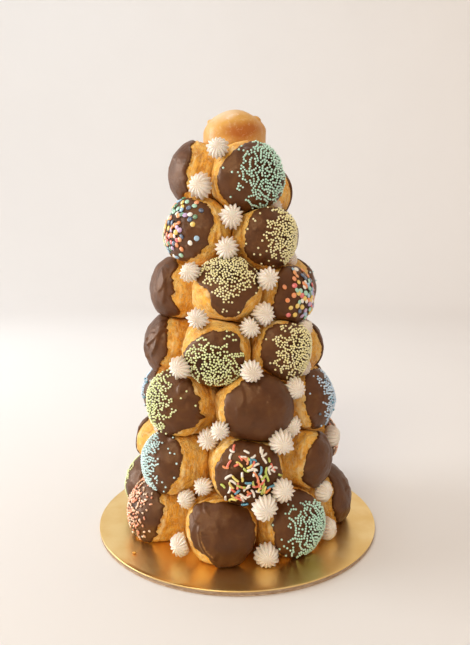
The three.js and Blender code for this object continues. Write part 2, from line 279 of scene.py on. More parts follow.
@dataclass(frozen=True)
class Facing:
    """The directions across, up and out of a face."""

    across: Array
    up: Array
    out: Array

    @classmethod
    def along(cls, bearing: float, tilt: float) -> "Facing":
        """The frame of a face that looks along a bearing, tilted up.

        Args:
            bearing: Degrees from the front.
            tilt: Degrees above the horizon.

        Returns:
            The frame.
        """
        angle, rise = math.radians(bearing), math.radians(tilt)
        level = math.cos(rise)
        out = np.array((math.sin(angle) * level, -math.cos(angle) * level, math.sin(rise)))
        across = np.array((math.cos(angle), math.sin(angle), 0.0))
        return cls(across, np.cross(out, across), out)

    def axes(self) -> Array:
        """The three directions as rows."""
        return np.stack((self.across, self.up, self.out))

    def inward(self, vectors: Array) -> Array:
        """Vectors of the tower's frame in this one."""
        return vectors @ self.axes().T

    def outward(self, vectors: Array) -> Array:
        """Vectors of this frame in the tower's."""
        return vectors @ self.axes()


class Grain:
    """Smooth noise that fills space and repeats for the same seed."""

    def __init__(self, seed: int) -> None:
        """Keeps the seed."""
        self.seed = seed

    def _corner(self, cells: Array) -> Array:
        """The values, from -1 to 1, at whole-numbered points.

        Args:
            cells: The points.

        Returns:
            A value for each.
        """
        steps = np.array(HASH_STEPS, dtype=np.int64)
        mixed = (cells.astype(np.int64) @ steps + self.seed * HASH_SEED) & LOW_BITS
        mixed = ((mixed ^ (mixed >> 13)) * HASH_STIR) & LOW_BITS
        mixed = mixed ^ (mixed >> 16)
        return mixed / (LOW_BITS >> 1) - 1.0

    def at(self, points: Array) -> Array:
        """The noise at points, in cells of one unit.

        Args:
            points: Points, one to a row.

        Returns:
            A value from -1 to 1 for each.
        """
        cells = np.floor(points)
        inside = points - cells
        near = eased(inside)
        total = np.zeros(points.shape[:-1])
        for corner in np.ndindex(2, 2, 2):
            step = np.array(corner)
            share = np.prod(np.where(step == 1, near, 1 - near), axis=-1)
            total += share * self._corner(cells + step)
        return total

    def layers(self, points: Array, count: int = 3) -> Array:
        """The noise with finer layers of half the strength on top.

        Args:
            points: Points, one to a row.
            count: How many layers.

        Returns:
            The sum of the layers at each point.
        """
        total = np.zeros(points.shape[:-1])
        for layer in range(count):
            total += self.at(points * 2**layer + 17.3 * layer) / 2**layer
        return total


# ---- Meshes ----


@dataclass
class Shell:
    """Points and faces of a closed surface, in millimetres."""

    points: Array
    faces: list[tuple[int, ...]]

    @classmethod
    def lathed(cls, front: Array, rows: Array, back: Array) -> "Shell":
        """A closed surface from a front pole, rows of equally many points and a back pole.

        Args:
            front: The front pole.
            rows: The rows, as an array of rows by columns by three.
            back: The back pole.

        Returns:
            The surface, its faces turned outwards for rows that run anticlockwise
            seen from the front.
        """
        count, steps = rows.shape[:2]
        points = np.vstack((front[None], rows.reshape(-1, 3), back[None]))
        last = len(points) - 1
        faces: list[tuple[int, ...]] = []
        for k in range(steps):
            after = (k + 1) % steps
            faces.append((0, 1 + k, 1 + after))
            for row in range(count - 1):
                near, far = 1 + row * steps, 1 + (row + 1) * steps
                faces.append((near + k, far + k, far + after, near + after))
            faces.append((last, last - steps + after, last - steps + k))
        return cls(points, faces)


@dataclass
class Heap:
    """Many small shells that make one piece, each with the number of its material."""

    points: list[Array] = field(default_factory=list)
    faces: list[Array] = field(default_factory=list)
    paints: list[Array] = field(default_factory=list)
    count: int = 0

    def add(self, points: Array, faces: Array, paint: int = 0) -> None:
        """Adds a shell of triangles or quads that all have one material.

        Args:
            points: The shell's points.
            faces: Its faces, all of one kind.
            paint: The number of its material.
        """
        self.faces.append(faces + self.count)
        self.points.append(points)
        self.paints.append(np.full(len(faces), paint))
        self.count += len(points)

    def merged(self) -> tuple[Shell, Array]:
        """All shells as one, and the material number of each face."""
        faces = [tuple(face) for part in self.faces for face in part.tolist()]
        return Shell(np.vstack(self.points), faces), np.concatenate(self.paints)


@dataclass(frozen=True)
class Piece:
    """A named piece of the tower: what it stands for, its slot and its materials."""

    name: str
    slot: str
    stands_for: tuple[str, ...]
    materials: tuple[Material, ...]

    def make(
        self,
        shell: Shell,
        paints: Array | None = None,
        own: Facing | None = None,
        centre: Array | None = None,
        **marks: Array,
    ) -> bpy.types.Object:
        """Makes the mesh, puts it on the tower and reports it.

        Args:
            shell: The surface, in its own frame if one is given.
            paints: The number of each face's material, if there are several.
            own: The frame that the surface is drawn in.
            centre: The point of the tower where that frame has its origin.
            marks: Values or vectors at each point, for the materials to read.

        Returns:
            The object.
        """
        mesh = bpy.data.meshes.new(self.name)
        points = shell.points if own is None else own.outward(shell.points) + centre
        mesh.from_pydata((points * MM).tolist(), [], shell.faces)
        for material in self.materials:
            mesh.materials.append(material)
        if paints is not None:
            mesh.polygons.foreach_set("material_index", paints.astype(np.int32))
        for title, values in marks.items():
            kind = "FLOAT_VECTOR" if values.ndim == 2 else "FLOAT"
            key = "vector" if values.ndim == 2 else "value"
            mark = mesh.attributes.new(title, kind, "POINT")
            mark.data.foreach_set(key, values.astype(np.float32).ravel())
        mesh.shade_smooth()
        mesh.update()
        thing = bpy.data.objects.new(self.name, mesh)
        bpy.context.scene.collection.objects.link(thing)
        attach(thing, "root")
        if self.stands_for:
            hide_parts(*self.stands_for)
        log.info("%s: %d faces", self.name, len(shell.faces))
        return thing


# ---- Finishes ----


class Paint:
    """A material under way: its nodes are added one by one."""

    def __init__(self, name: str) -> None:
        """Starts a material with an empty surface shader.

        Args:
            name: The material's name.
        """
        self.material = bpy.data.materials.new(name)
        self.material.use_nodes = True
        self.tree = self.material.node_tree
        self.shader = self.tree.nodes["Principled BSDF"]

    def node(self, kind: str, settings: dict | None = None, **sockets: object) -> bpy.types.Node:
        """Adds a node.

        Args:
            kind: The node's type.
            settings: Properties of the node itself.
            sockets: For each input, a value or the output that feeds it. An underscore
                in a name stands for a space.

        Returns:
            The node.
        """
        made = self.tree.nodes.new(kind)
        for key, value in (settings or {}).items():
            setattr(made, key, value)
        for key, value in sockets.items():
            self.feed(made.inputs[key.replace("_", " ")], value)
        return made

    def feed(self, socket: Socket, value: object) -> None:
        """Links an output to a socket, or sets the socket's own value.

        Args:
            socket: The socket.
            value: The output or the value.
        """
        if isinstance(value, Socket):
            self.tree.links.new(value, socket)
        else:
            socket.default_value = value

    def spots(self, title: str) -> Socket:
        """The vector that a mesh carries under a title."""
        return self.node("ShaderNodeAttribute", {"attribute_name": title}).outputs["Vector"]

    def mark(self, title: str) -> Socket:
        """The number that a mesh carries under a title."""
        return self.node("ShaderNodeAttribute", {"attribute_name": title}).outputs["Fac"]

    def stretched(self, vector: Socket, scale: Triple) -> Socket:
        """A vector scaled along its axes."""
        return self.node("ShaderNodeMapping", Vector=vector, Scale=scale).outputs["Vector"]

    def noise(
        self,
        vector: Socket,
        scale: float,
        detail: float = 4.0,
        roughness: float = 0.55,
        distortion: float = 0.0,
    ) -> Socket:
        """Cloudy noise, from 0 to 1.

        Args:
            vector: Where the noise is looked up.
            scale: Its cells to a millimetre.
            detail: How many finer layers it has.
            roughness: How strong they are.
            distortion: How far it is warped.

        Returns:
            The noise.
        """
        layers = {"Detail": detail, "Roughness": roughness, "Distortion": distortion}
        made = self.node("ShaderNodeTexNoise", Vector=vector, Scale=scale, **layers)
        return made.outputs["Fac"]

    def cells(self, vector: Socket, scale: float) -> Socket:
        """The distance to the nearest of many scattered points."""
        return self.node("ShaderNodeTexVoronoi", Vector=vector, Scale=scale).outputs["Distance"]

    def ramp(self, value: Socket, stops: Stops) -> Socket:
        """A value turned into colours between stops.

        Args:
            value: The value.
            stops: Each stop's position and colour.

        Returns:
            The colour.
        """
        made = self.node("ShaderNodeValToRGB", Fac=value)
        elements = made.color_ramp.elements
        while len(elements) < len(stops):
            elements.new(1.0)
        for element, (position, colour) in zip(elements, stops):
            element.position = position
            element.color = colour
        return made.outputs["Color"]

    def between(
        self, value: Socket, low: float, high: float, start: float = 0.0, stop: float = 1.0
    ) -> Socket:
        """A value from low to high eased to one from start to stop, and held beyond.

        Args:
            value: The value.
            low: Where it starts.
            high: Where it stops, above or below low.
            start: What it starts from.
            stop: What it goes to.

        Returns:
            The eased value.
        """
        limits = {"From_Min": low, "From_Max": high, "To_Min": start, "To_Max": stop}
        smooth = {"interpolation_type": "SMOOTHSTEP"}
        return self.node("ShaderNodeMapRange", smooth, Value=value, **limits).outputs["Result"]

    def sum_up(self, operation: str, one: object, other: object) -> Socket:
        """The result of a sum with two values.

        Args:
            operation: The kind of sum.
            one: The first value.
            other: The second value.

        Returns:
            The result.
        """
        made = self.node("ShaderNodeMath", {"operation": operation})
        self.feed(made.inputs[0], one)
        self.feed(made.inputs[1], other)
        return made.outputs["Value"]

    def times(self, one: Socket, other: object) -> Socket:
        """The product of two values."""
        return self.sum_up("MULTIPLY", one, other)

    def plus(self, one: Socket, other: object) -> Socket:
        """The sum of two values."""
        return self.sum_up("ADD", one, other)

    def band(
        self, value: Socket, middle: float, outer: float = 0.03, inner: float = 0.005
    ) -> Socket:
        """One where a value is near a middle, falling to 0 from inner to outer away from it.

        Args:
            value: The value.
            middle: The middle.
            outer: How far off it reaches 0.
            inner: How far off it is still 1.

        Returns:
            The band.
        """
        rising = self.between(value, middle - outer, middle - inner)
        return self.times(rising, self.between(value, middle + outer, middle + inner))

    def blend(self, share: Socket, first: object, second: object) -> Socket:
        """The first colour where the share is 0, and the second where it is 1.

        Args:
            share: The share.
            first: A colour or an output.
            second: A colour or an output.

        Returns:
            The colour.
        """
        made = self.node("ShaderNodeMix", {"data_type": "RGBA"})
        self.feed(made.inputs["Factor"], share)
        colours = [one for one in made.inputs if one.type == "RGBA"]
        self.feed(colours[0], first)
        self.feed(colours[1], second)
        return next(one for one in made.outputs if one.type == "RGBA")

    def washes(self, base: object, layers: Iterable[tuple]) -> Socket:
        """A base with colours laid over it, one after the other.

        Args:
            base: The colour below.
            layers: For each, a value, where it starts and stops, the most that it
                covers, and its colour.

        Returns:
            The colour.
        """
        for value, low, high, most, colour in layers:
            base = self.blend(self.between(value, low, high, 0.0, most), base, colour)
        return base

    def relief(self, height: Socket, depth: float, strength: float = 1.0) -> None:
        """Bumps of a depth in millimetres on the surface shader."""
        bump = self.node("ShaderNodeBump", Height=height, Strength=strength, Distance=depth * MM)
        self.feed(self.shader.inputs["Normal"], bump.outputs["Normal"])

    def finish(self, colour: object, roughness: object, **sockets: object) -> Material:
        """Sets the surface shader and ends the material.

        Args:
            colour: The base colour, or the output that gives it.
            roughness: The roughness, or the output that gives it.
            sockets: Other inputs of the shader, with underscores for spaces.

        Returns:
            The material.
        """
        self.feed(self.shader.inputs["Base Color"], colour)
        self.feed(self.shader.inputs["Roughness"], roughness)
        for key, value in sockets.items():
            self.feed(self.shader.inputs[key.replace("_", " ")], value)
        return self.material


@dataclass(frozen=True)
class ChouxFinish:
    """Golden baked crust with streaks round the bun, pale cracks, dark pores and painted light and
    shade.
    """

    name: str = "choux_crust"
    deep: Colour = linear("cf8422")
    golden: Colour = linear("fcbb46")
    light: Colour = linear("fdd67c")
    pale: Colour = linear("fde4ac")
    pore: Colour = linear("7a4418")
    roughness: float = 0.48
    cloud_scale: float = 0.085
    mottle_scale: float = 0.24
    streak_scale: Triple = (0.1, 0.1, 0.5)
    net_scale: Triple = (0.09, 0.09, 0.24)
    pore_scale: float = 0.62

    def material(self) -> Material:
        """The crust as a material that reads the bun's own coordinates.

        Returns:
            The material.
        """
        paint = Paint(self.name)
        spots = paint.spots("grain")
        cloud = paint.noise(spots, self.cloud_scale, detail=4, roughness=0.6)
        base = paint.ramp(cloud, ((0.3, self.deep), (0.5, self.golden), (0.72, self.light)))
        mottle = paint.noise(spots, self.mottle_scale, detail=5, roughness=0.6)
        along = paint.stretched(spots, self.streak_scale)
        streak = paint.noise(along, 1.0, detail=5, roughness=0.58, distortion=1.6)
        net = paint.noise(paint.stretched(spots, self.net_scale), 1.0, detail=4, distortion=1.2)
        flakes, dents = paint.band(net, 0.5), paint.band(net, 0.43)
        raised = paint.mark("raised")
        layers = (
            (mottle, 0.5, 0.68, 0.55, self.light),
            (mottle, 0.47, 0.32, 0.5, self.deep),
            (streak, 0.54, 0.66, 0.5, self.pale),
            (streak, 0.43, 0.33, 0.5, self.deep),
        )
        base = paint.washes(base, layers)
        base = paint.blend(paint.times(flakes, 0.4), base, self.pale)
        base = paint.blend(paint.times(dents, 0.3), base, self.deep)
        layers = (
            # Painted light and shade: paler where the relief stands high, darker in its hollows.
            (raised, 0.6, 0.95, 0.55, self.pale),
            (raised, 0.36, 0.02, 0.7, self.deep),
            # Painted shade: the crust darkens towards the gaps behind the faces.
            (paint.mark("low"), 0.4, 1.0, 0.35, self.deep),
        )
        base = paint.washes(base, layers)
        pits = paint.between(paint.cells(spots, self.pore_scale), 0.22, 0.08)
        pores = paint.times(pits, paint.between(paint.noise(spots, 0.16, detail=2), 0.46, 0.56))
        base = paint.blend(paint.times(pores, 0.75), base, self.pore)
        height = paint.plus(paint.times(streak, 0.7), paint.times(mottle, 0.5))
        height = paint.plus(height, paint.times(flakes, 0.3))
        paint.relief(paint.plus(height, paint.times(pores, -0.8)), 1.0, 0.9)
        gloss = paint.between(mottle, 0.3, 0.7, self.roughness, self.roughness + 0.16)
        return paint.finish(base, gloss, Specular_IOR_Level=0.38)


@dataclass(frozen=True)
class TopFinish:
    """The smooth glossy crust of the bare bun, deep amber low on its sides, with a painted
    highlight.
    """

    name: str = "choux_top"
    amber: Colour = linear("b9680f")
    golden: Colour = linear("dba346")
    pale: Colour = linear("e8c89c")
    roughness: float = 0.34
    dullest: float = 0.5

    def material(self) -> Material:
        """The crust as a material that reads the bun's own coordinates.

        Returns:
            The material.
        """
        paint = Paint(self.name)
        spots = paint.spots("grain")
        cloud = paint.noise(spots, 0.12, detail=4)
        # The toast mark holds the baked tone and a painted highlight on the upper left front.
        tone = paint.plus(paint.times(cloud, 0.3), paint.mark("toast"))
        base = paint.ramp(tone, ((0.12, self.pale), (0.45, self.golden), (0.95, self.amber)))
        fine = paint.noise(spots, 0.34, detail=7, roughness=0.72, distortion=0.6)
        layers = ((fine, 0.52, 0.68, 0.4, self.pale), (fine, 0.46, 0.3, 0.4, self.amber))
        base = paint.washes(base, layers)
        paint.relief(fine, 0.3, 0.6)
        gloss = paint.between(fine, 0.3, 0.7, self.roughness, self.dullest)
        return paint.finish(base, gloss, Coat_Weight=0.15)


@dataclass(frozen=True)
class ChocolateFinish:
    """Set milk chocolate with faint bloom, crust where it is thin, and painted shadow under
    sprinkles.
    """

    name: str = "chocolate"
    dark: Colour = linear("42210a")
    brown: Colour = linear("522b0f")
    bloom: Colour = linear("66401c")
    crust: Colour = linear("a8763a")
    sheen: Colour = linear("f8ceac")
    shadow: Colour = linear("140700")
    roughness: float = 0.36

    def material(self) -> Material:
        """The chocolate as a material that reads the bun's own coordinates.

        Returns:
            The material.
        """
        paint = Paint(self.name)
        spots = paint.spots("grain")
        cloud = paint.noise(spots, 0.1, detail=5, distortion=0.6)
        base = paint.ramp(cloud, ((0.3, self.dark), (0.55, self.brown), (0.8, self.bloom)))
        thin = paint.plus(paint.mark("thin"), paint.times(paint.noise(spots, 0.5), 0.5))
        base = paint.blend(paint.between(thin, 0.85, 1.15), base, self.crust)
        # Painted shadow: the chocolate darkens towards near black where sprinkles lie thick, and
        # its gloss drops there.
        under = paint.between(paint.mark("crowd"), 0.15, 0.75, 0.0, 0.6)
        base = paint.blend(under, base, self.shadow)
        fine = paint.noise(spots, 0.4, detail=6, roughness=0.65)
        paint.relief(fine, 0.4, 0.6)
        gloss = paint.between(cloud, 0.3, 0.75, self.roughness, self.roughness + 0.14)
        shine = paint.between(under, 0.0, 0.6, 0.85, 0.3)
        return paint.finish(base, gloss, Specular_IOR_Level=shine, Specular_Tint=self.sheen)


@dataclass(frozen=True)
class CreamFinish:
    """Piped ivory cream, soft and a little translucent."""

    name: str = "cream"
    ivory: Colour = linear("f4ebe0")
    shade: Colour = linear("ebddcd")
    roughness: float = 0.5

    def material(self) -> Material:
        """The cream as a material that reads the star's own coordinates.

        Returns:
            The material.
        """
        paint = Paint(self.name)
        spots = paint.spots("grain")
        cloud = paint.noise(spots, 0.22, detail=3)
        base = paint.ramp(cloud, ((0.3, self.shade), (0.6, self.ivory)))
        paint.relief(paint.noise(spots, 1.1, detail=5, roughness=0.6), 0.16, 0.4)
        return paint.finish(
            base,
            self.roughness,
            Subsurface_Weight=0.25,
            Subsurface_Radius=(1.0, 0.7, 0.45),
            Subsurface_Scale=1.5 * MM,
        )


@dataclass(frozen=True)
class SugarFinish:
    """Coloured sugar with a bright gloss."""

    name: str
    tint: Colour
    washed: float = 0.5
    wash: Colour = linear("fffdf6")
    roughness: float = 0.3

    def material(self) -> Material:
        """The sugar as a material, a little washed out in places.

        Returns:
            The material.
        """
        paint = Paint("sugar_" + self.name)
        spots = paint.spots("grain")
        cloud = paint.noise(spots, 0.55, detail=2)
        base = paint.blend(paint.between(cloud, 0.4, 0.75, 0.0, self.washed), self.tint, self.wash)
        paint.relief(paint.noise(spots, 4.0, detail=2), 0.03, 0.4)
        return paint.finish(
            base, self.roughness, Specular_IOR_Level=1.0, Coat_Weight=0.6, Coat_Roughness=0.2
        )


@dataclass(frozen=True)
class FoilFinish:
    """Satin gold foil with faint creases."""

    name: str = "gold_foil"
    gold: Colour = linear("fadd9c")
    warm: Colour = linear("f0cb80")
    roughness: float = 0.29

    def material(self) -> Material:
        """The foil as a metallic material in the board's coordinates.

        Returns:
            The material.
        """
        paint = Paint(self.name)
        spots = paint.spots("grain")
        cloud = paint.noise(spots, 0.03, detail=3)
        base = paint.blend(paint.between(cloud, 0.35, 0.7), self.gold, self.warm)
        fine = paint.noise(spots, 0.6, detail=6, roughness=0.7)
        paint.relief(fine, 0.16, 0.3)
        gloss = paint.between(fine, 0.3, 0.7, self.roughness, self.roughness + 0.1)
        return paint.finish(base, gloss, Metallic=1.0)


@dataclass(frozen=True)
class CardFinish:
    """The grey pressed card inside the board, seen at its edge."""

    name: str = "grey_card"
    grey: Colour = linear("d9c0a6")
    brown: Colour = linear("a07a58")

    def material(self) -> Material:
        """The card as a material with fine layers.

        Returns:
            The material.
        """
        paint = Paint(self.name)
        spots = paint.stretched(paint.spots("grain"), (0.2, 0.2, 2.5))
        layers = paint.noise(spots, 1.0, detail=5, roughness=0.7)
        base = paint.ramp(layers, ((0.35, self.brown), (0.65, self.grey)))
        paint.relief(layers, 0.1, 0.5)
        return paint.finish(base, 0.8)


@dataclass(frozen=True)
class StageFinish:
    """The pale matt sheet that the tower stands on."""

    name: str = "stage_sheet"
    ground: Colour = linear("e9e4e0")
    cloud: Colour = linear("e6e1dd")

    def material(self) -> Material:
        """The sheet as a material with faint clouds.

        Returns:
            The material.
        """
        paint = Paint(self.name)
        where = paint.node("ShaderNodeTexCoord").outputs["Object"]
        base = paint.blend(paint.noise(where, 3.0, detail=2), self.ground, self.cloud)
        return paint.finish(base, 0.9, Specular_IOR_Level=0.2)


# ---- Buns ----


@dataclass(frozen=True)
class Fold:
    """A fold of chocolate along an arc on a bun's face.

    Places are shares of the bun's half width. The arc runs anticlockwise from start to
    stop, in degrees, and stands steepest on its outer side.
    """

    x: float
    y: float
    radius: float
    start: float
    stop: float
    height: float = 0.9
    width: float = 0.11
    bare: float = 0.0

    def relief(self, flat: Array) -> Array:
        """How high the fold stands, from 0 to 1, at places on the face.

        Args:
            flat: Places on the face, as shares of the half width.

        Returns:
            The height at each place.
        """
        away = flat - (self.x, self.y)
        past = np.linalg.norm(away, axis=-1) - self.radius
        turn = np.degrees(np.arctan2(away[..., 1], away[..., 0]))
        along = (turn - self.start) % 360 / ((self.stop - self.start) % 360)
        ends = eased(np.clip(np.minimum(along, 1 - along) * 5, 0, 1) * (along <= 1))
        inner = np.exp(np.minimum(past, 0) / self.width / 1.6)
        outer = bell(np.maximum(past, 0) / self.width / 0.5)
        return ends * np.where(past < 0, inner, outer)


@dataclass(frozen=True)
class Bite:
    """A place where the chocolate ends early or late: turn, width in degrees, reach."""

    turn: float
    width: float
    reach: float

    def shift(self, turns: Array) -> Array:
        """The change of the dip's reach at turns in radians, as a share."""
        away = (turns - math.radians(self.turn) + math.pi) % (2 * math.pi) - math.pi
        return self.reach * bell(away / math.radians(self.width))


@dataclass(frozen=True)
class Bump:
    """A small lump under the crust or the chocolate: place, radius and height."""

    place: Triple
    radius: float
    height: float

    def relief(self, points: Array) -> Array:
        """How far it stands up, in millimetres, at points in shares of the half width."""
        away = np.linalg.norm(points - np.array(self.place), axis=-1) / self.radius
        return self.height * np.exp(-(away**4))


BUMPS = {
    "top_bun": (
        Bump((-0.82, -0.15, 0.42), 0.09, 1.6),
        Bump((0.72, -0.2, 0.46), 0.12, 2.0),
        Bump((0.88, -0.15, 0.2), 0.2, 0.9),
        Bump((0.3, -0.85, 0.2), 0.1, 0.8),
    ),
    "bun_2_2": (
        Bump((0.42, 0.78, 0.3), 0.14, 2.0),
        Bump((0.12, 0.9, 0.25), 0.07, 1.4),
        Bump((-0.08, 0.88, 0.32), 0.07, 1.4),
        Bump((-0.25, 0.82, 0.3), 0.08, 1.5),
        Bump((-0.42, 0.76, 0.28), 0.07, 1.3),
    ),
    "bun_3_2": (Bump((0.72, 0.5, 0.25), 0.12, 1.4),),
    "bun_7_2": (Bump((-0.2, 0.62, 0.52), 0.1, 1.0), Bump((-0.72, 0.3, 0.35), 0.08, 0.9)),
    "bun_3_3": (Bump((-0.05, 0.7, 0.5), 0.06, 0.9), Bump((0.1, 0.35, 0.75), 0.05, 0.6)),
}

# Place, radius, start, stop, height, width and how bare it leaves the crust.
FOLDS = {
    "bun_1_3": (
        Fold(0.22, 0.12, 0.78, 165, 250, 1.5, 0.1, 0.8),
        Fold(0.1, 0.0, 0.85, 120, 215, 0.9, 0.09),
        Fold(-0.6, 0.1, 0.5, 300, 50, 0.8, 0.2),
        Fold(-0.5, 0.55, 0.22, 100, 270, 1.1, 0.07),
        Fold(-0.24, 0.72, 0.2, 110, 250, 0.9, 0.06),
    ),
    "bun_2_3": (
        Fold(-0.35, 0.5, 0.32, 60, 250, 1.5, 0.1),
        Fold(-0.1, 0.72, 0.24, 70, 230, 1.2, 0.08),
        Fold(-0.62, 0.1, 0.2, 40, 200, 0.6, 0.09),
    ),
    "bun_3_3": (
        Fold(-0.2, 0.55, 0.4, 60, 150, 0.8, 0.1),
        Fold(-0.85, 0.5, 0.35, 290, 40, 0.7, 0.09),
        Fold(0.5, -0.5, 0.35, 100, 260, 0.7, 0.2),
        Fold(0.4, 0.55, 0.3, 200, 320, 0.5, 0.2),
    ),
    "bun_4_1": (
        Fold(0.1, 0.15, 0.62, 290, 80, 1.7, 0.1),
        Fold(0.5, -0.25, 0.4, 90, 230, 1.6, 0.09),
        Fold(0.2, 0.45, 0.5, 290, 60, 1.3, 0.09),
        Fold(0.55, 0.1, 0.2, 60, 260, 1.3, 0.07),
    ),
    "bun_5_1": (
        Fold(0.05, 0.0, 0.62, 300, 70, 1.3, 0.12),
        Fold(0.25, 0.25, 0.42, 280, 100, 1.1, 0.09),
        Fold(-0.3, -0.1, 0.5, 330, 50, 0.5, 0.16),
    ),
    "bun_2_4": (
        Fold(0.15, 0.3, 0.45, 340, 110, 1.0, 0.13),
        Fold(-0.1, -0.1, 0.6, 20, 80, 0.6, 0.16),
    ),
    "bun_1_5": (
        Fold(-0.3, -0.3, 0.95, 0, 90, 0.9, 0.16),
        Fold(-0.3, -0.3, 0.7, 350, 100, 0.9, 0.16),
        Fold(-0.3, -0.3, 0.45, 340, 110, 0.8, 0.16),
    ),
    "bun_3_2": (
        Fold(0.35, 0.2, 0.4, 120, 260, 1.2, 0.1),
        Fold(0.62, 0.45, 0.2, 90, 250, 1.1, 0.08),
    ),
    "bun_4_2": (
        Fold(-0.5, 0.62, 0.24, 60, 230, 1.5, 0.07),
        Fold(-0.7, 0.35, 0.22, 60, 240, 1.3, 0.07),
    ),
    "bun_7_1": (Fold(0.1, 0.3, 0.7, 300, 40, 0.5, 0.2),),
}

BITES = {
    "bun_5_2": (Bite(212, 26, -0.27), Bite(-48, 20, -0.16), Bite(-88, 14, 0.05)),
    "bun_3_2": (Bite(14, 5, 0.1), Bite(-17, 4, 0.2), Bite(-30, 10, 0.08), Bite(-60, 18, -0.12)),
    "bun_3_3": (Bite(-45, 8, -0.13), Bite(180, 40, -0.08)),
    "bun_2_3": (Bite(165, 20, 0.05),),
    "bun_5_1": (Bite(-50, 12, 0.12), Bite(-20, 10, -0.12), Bite(60, 25, 0.1)),
    "bun_4_3": (Bite(150, 30, -0.06),),
    "bun_1_2": (Bite(-90, 24, -0.13),),
    "bun_1_3": (Bite(100, 12, -0.05), Bite(-125, 30, -0.3), Bite(180, 26, -0.12)),
    "bun_4_2": (Bite(20, 14, -0.1), Bite(95, 30, -0.12)),
    "bun_6_2": (Bite(-70, 20, 0.06),),
    "bun_7_2": (Bite(120, 30, -0.08),),
    "bun_7_1": (Bite(-10, 35, -0.14),),
}


@dataclass
class Bun:
    """A choux bun: a body, and a chocolate cap unless it is bare.

    Depths are shares of the half width. Coat, thickness, lip, sunk and inside are
    millimetres. Neighbours within earshot of touching press it, and last_row is the
    angle in degrees at which the fine rows of the crust end.
    """

    name: str
    seed: int
    spot: Spot
    centre: Array
    facing: Facing
    contacts: list[tuple[Array, float]] = field(default_factory=list)
    dome_depth: float = 0.8
    back_depth: float = 1.1
    back_squareness: float = 3.2
    back_swell: float = 0.16
    base_depth: float = 0.98
    top_depth: float = 0.72
    lumps: float = 0.013
    softness: float = 0.9
    solid_fullness: float = 1.012
    coat: float = 0.5
    thickness: float = 0.6
    waviness: float = 0.05
    ragged: float = 0.04
    lip: float = 1.7
    sunk: float = 0.7
    crust_steps: int = 132
    cap_steps: int = 200
    earshot: float = 12.0
    grazing: float = 0.02
    last_row: float = 142.0
    inside: float = 0.4

    @property
    def half(self) -> float:
        """Half of the bun's width."""
        return self.spot.half

    @property
    def bare(self) -> bool:
        """Whether the bun has no chocolate."""
        return self.spot.dress is Dress.BARE

    @property
    def grain(self) -> Grain:
        """The bun's own noise."""
        return Grain(self.seed)

    def press(self, others: Iterable["Bun"]) -> None:
        """Finds the planes that flatten the bun: its base, the board and its neighbours.

        Args:
            others: All buns of the tower.
        """
        above_board = self.centre[2] - BOARD_THICKNESS - GAP
        self.contacts = [
            (DOWN, self.base_depth * self.half),
            (self.facing.inward(DOWN), above_board),
        ]
        for other in others:
            apart = float(np.linalg.norm(other.centre - self.centre))
            if other is self or apart > self.half + other.half + self.earshot:
                continue
            normal = (other.centre - self.centre) / apart
            share = (apart**2 + self.half**2 - other.half**2) / (2 * apart)
            self.contacts.append((self.facing.inward(normal), share - GAP / 2))

    def free_reach(self, ways: Array, fullness: float = 1.0) -> Array:
        """How far the bun would reach alone from its centre, in its own directions.

        Args:
            ways: Directions of length one.
            fullness: A factor on the whole bun.

        Returns:
            The reach along each.
        """
        x, y, z = ways[..., 0], ways[..., 1], ways[..., 2]
        side = np.hypot(x, y) / self.half
        dome = self.top_depth if self.bare else self.dome_depth
        depth = np.abs(z) / (self.half * np.where(z > 0, dome, self.back_depth))
        power = np.where(z > 0, 2.0, self.back_squareness)
        even = (side**power + depth**power) ** (-1 / power)
        lump = (
            np.sin(3.5 * x + 2 * y + self.seed)
            + np.sin(4 * y - 2 * z + 2.3 * self.seed)
            + np.sin(3 * z + 3 * x + 3.7 * self.seed)
        )
        behind = eased(np.clip((-z - 0.2) / 0.5, 0, 1))
        return even * (fullness + self.back_swell * behind + self.lumps * lump)

    def pressed(self, free: Array, ways: Array) -> Array:
        """A free reach held back where the bun touches what is round it.

        Args:
            free: The free reach along each direction.
            ways: The directions.

        Returns:
            The reach that is left.
        """
        total = np.exp(-free / self.softness)
        for normal, distance in self.contacts:
            towards = ways @ normal
            met = towards > self.grazing
            held = np.exp(-distance / np.where(met, towards, 1.0) / self.softness)
            total += np.where(met, held, 0.0)
        return -self.softness * np.log(total)

    def clearance(self, point: Array, gap: float = 0.0) -> float:
        """How far a point of the tower lies outside the bun's solid.

        Args:
            point: The point.
            gap: How much fuller the bun is taken.

        Returns:
            The clearance, less than 0 inside.
        """
        away = self.facing.inward(point - self.centre)
        apart = float(np.linalg.norm(away))
        way = (away / apart)[None]
        return apart - float(self.pressed(self.free_reach(way, self.solid_fullness) + gap, way)[0])

    def dip_edge(self, turns: Array) -> Array:
        """The angle from the face's middle at which the chocolate ends, without rags.

        Args:
            turns: Turns round the face, in radians.

        Returns:
            The angle at each turn, in radians.
        """
        wave = (
            np.sin(2 * turns + self.seed)
            + 0.8 * np.sin(3 * turns + 2.1 * self.seed)
            + 0.5 * np.sin(5 * turns + 3.3 * self.seed)
        )
        return math.radians(self.spot.dip) * (1 + self.waviness * wave)

    def ragged_edge(self, turns: Array) -> Array:
        """The chocolate's edge with its small rags and bites.

        Args:
            turns: Turns round the face, in radians.

        Returns:
            The angle at each turn, in radians.
        """
        ring = np.stack((np.cos(turns), np.sin(turns), np.zeros_like(turns)), axis=-1)
        waves = self.grain.layers(ring * 4.5, 2)
        teeth = self.grain.layers(ring * 15 + 9, 2)
        tails = np.clip(self.grain.at(ring * 9 + 31) - 0.45, 0, 1)
        edge = self.dip_edge(turns) * (1 + self.ragged * (waves + 0.55 * teeth + 2.2 * tails))
        for bite in BITES.get(self.name, ()):
            edge = edge * (1 + bite.shift(turns))
        return edge

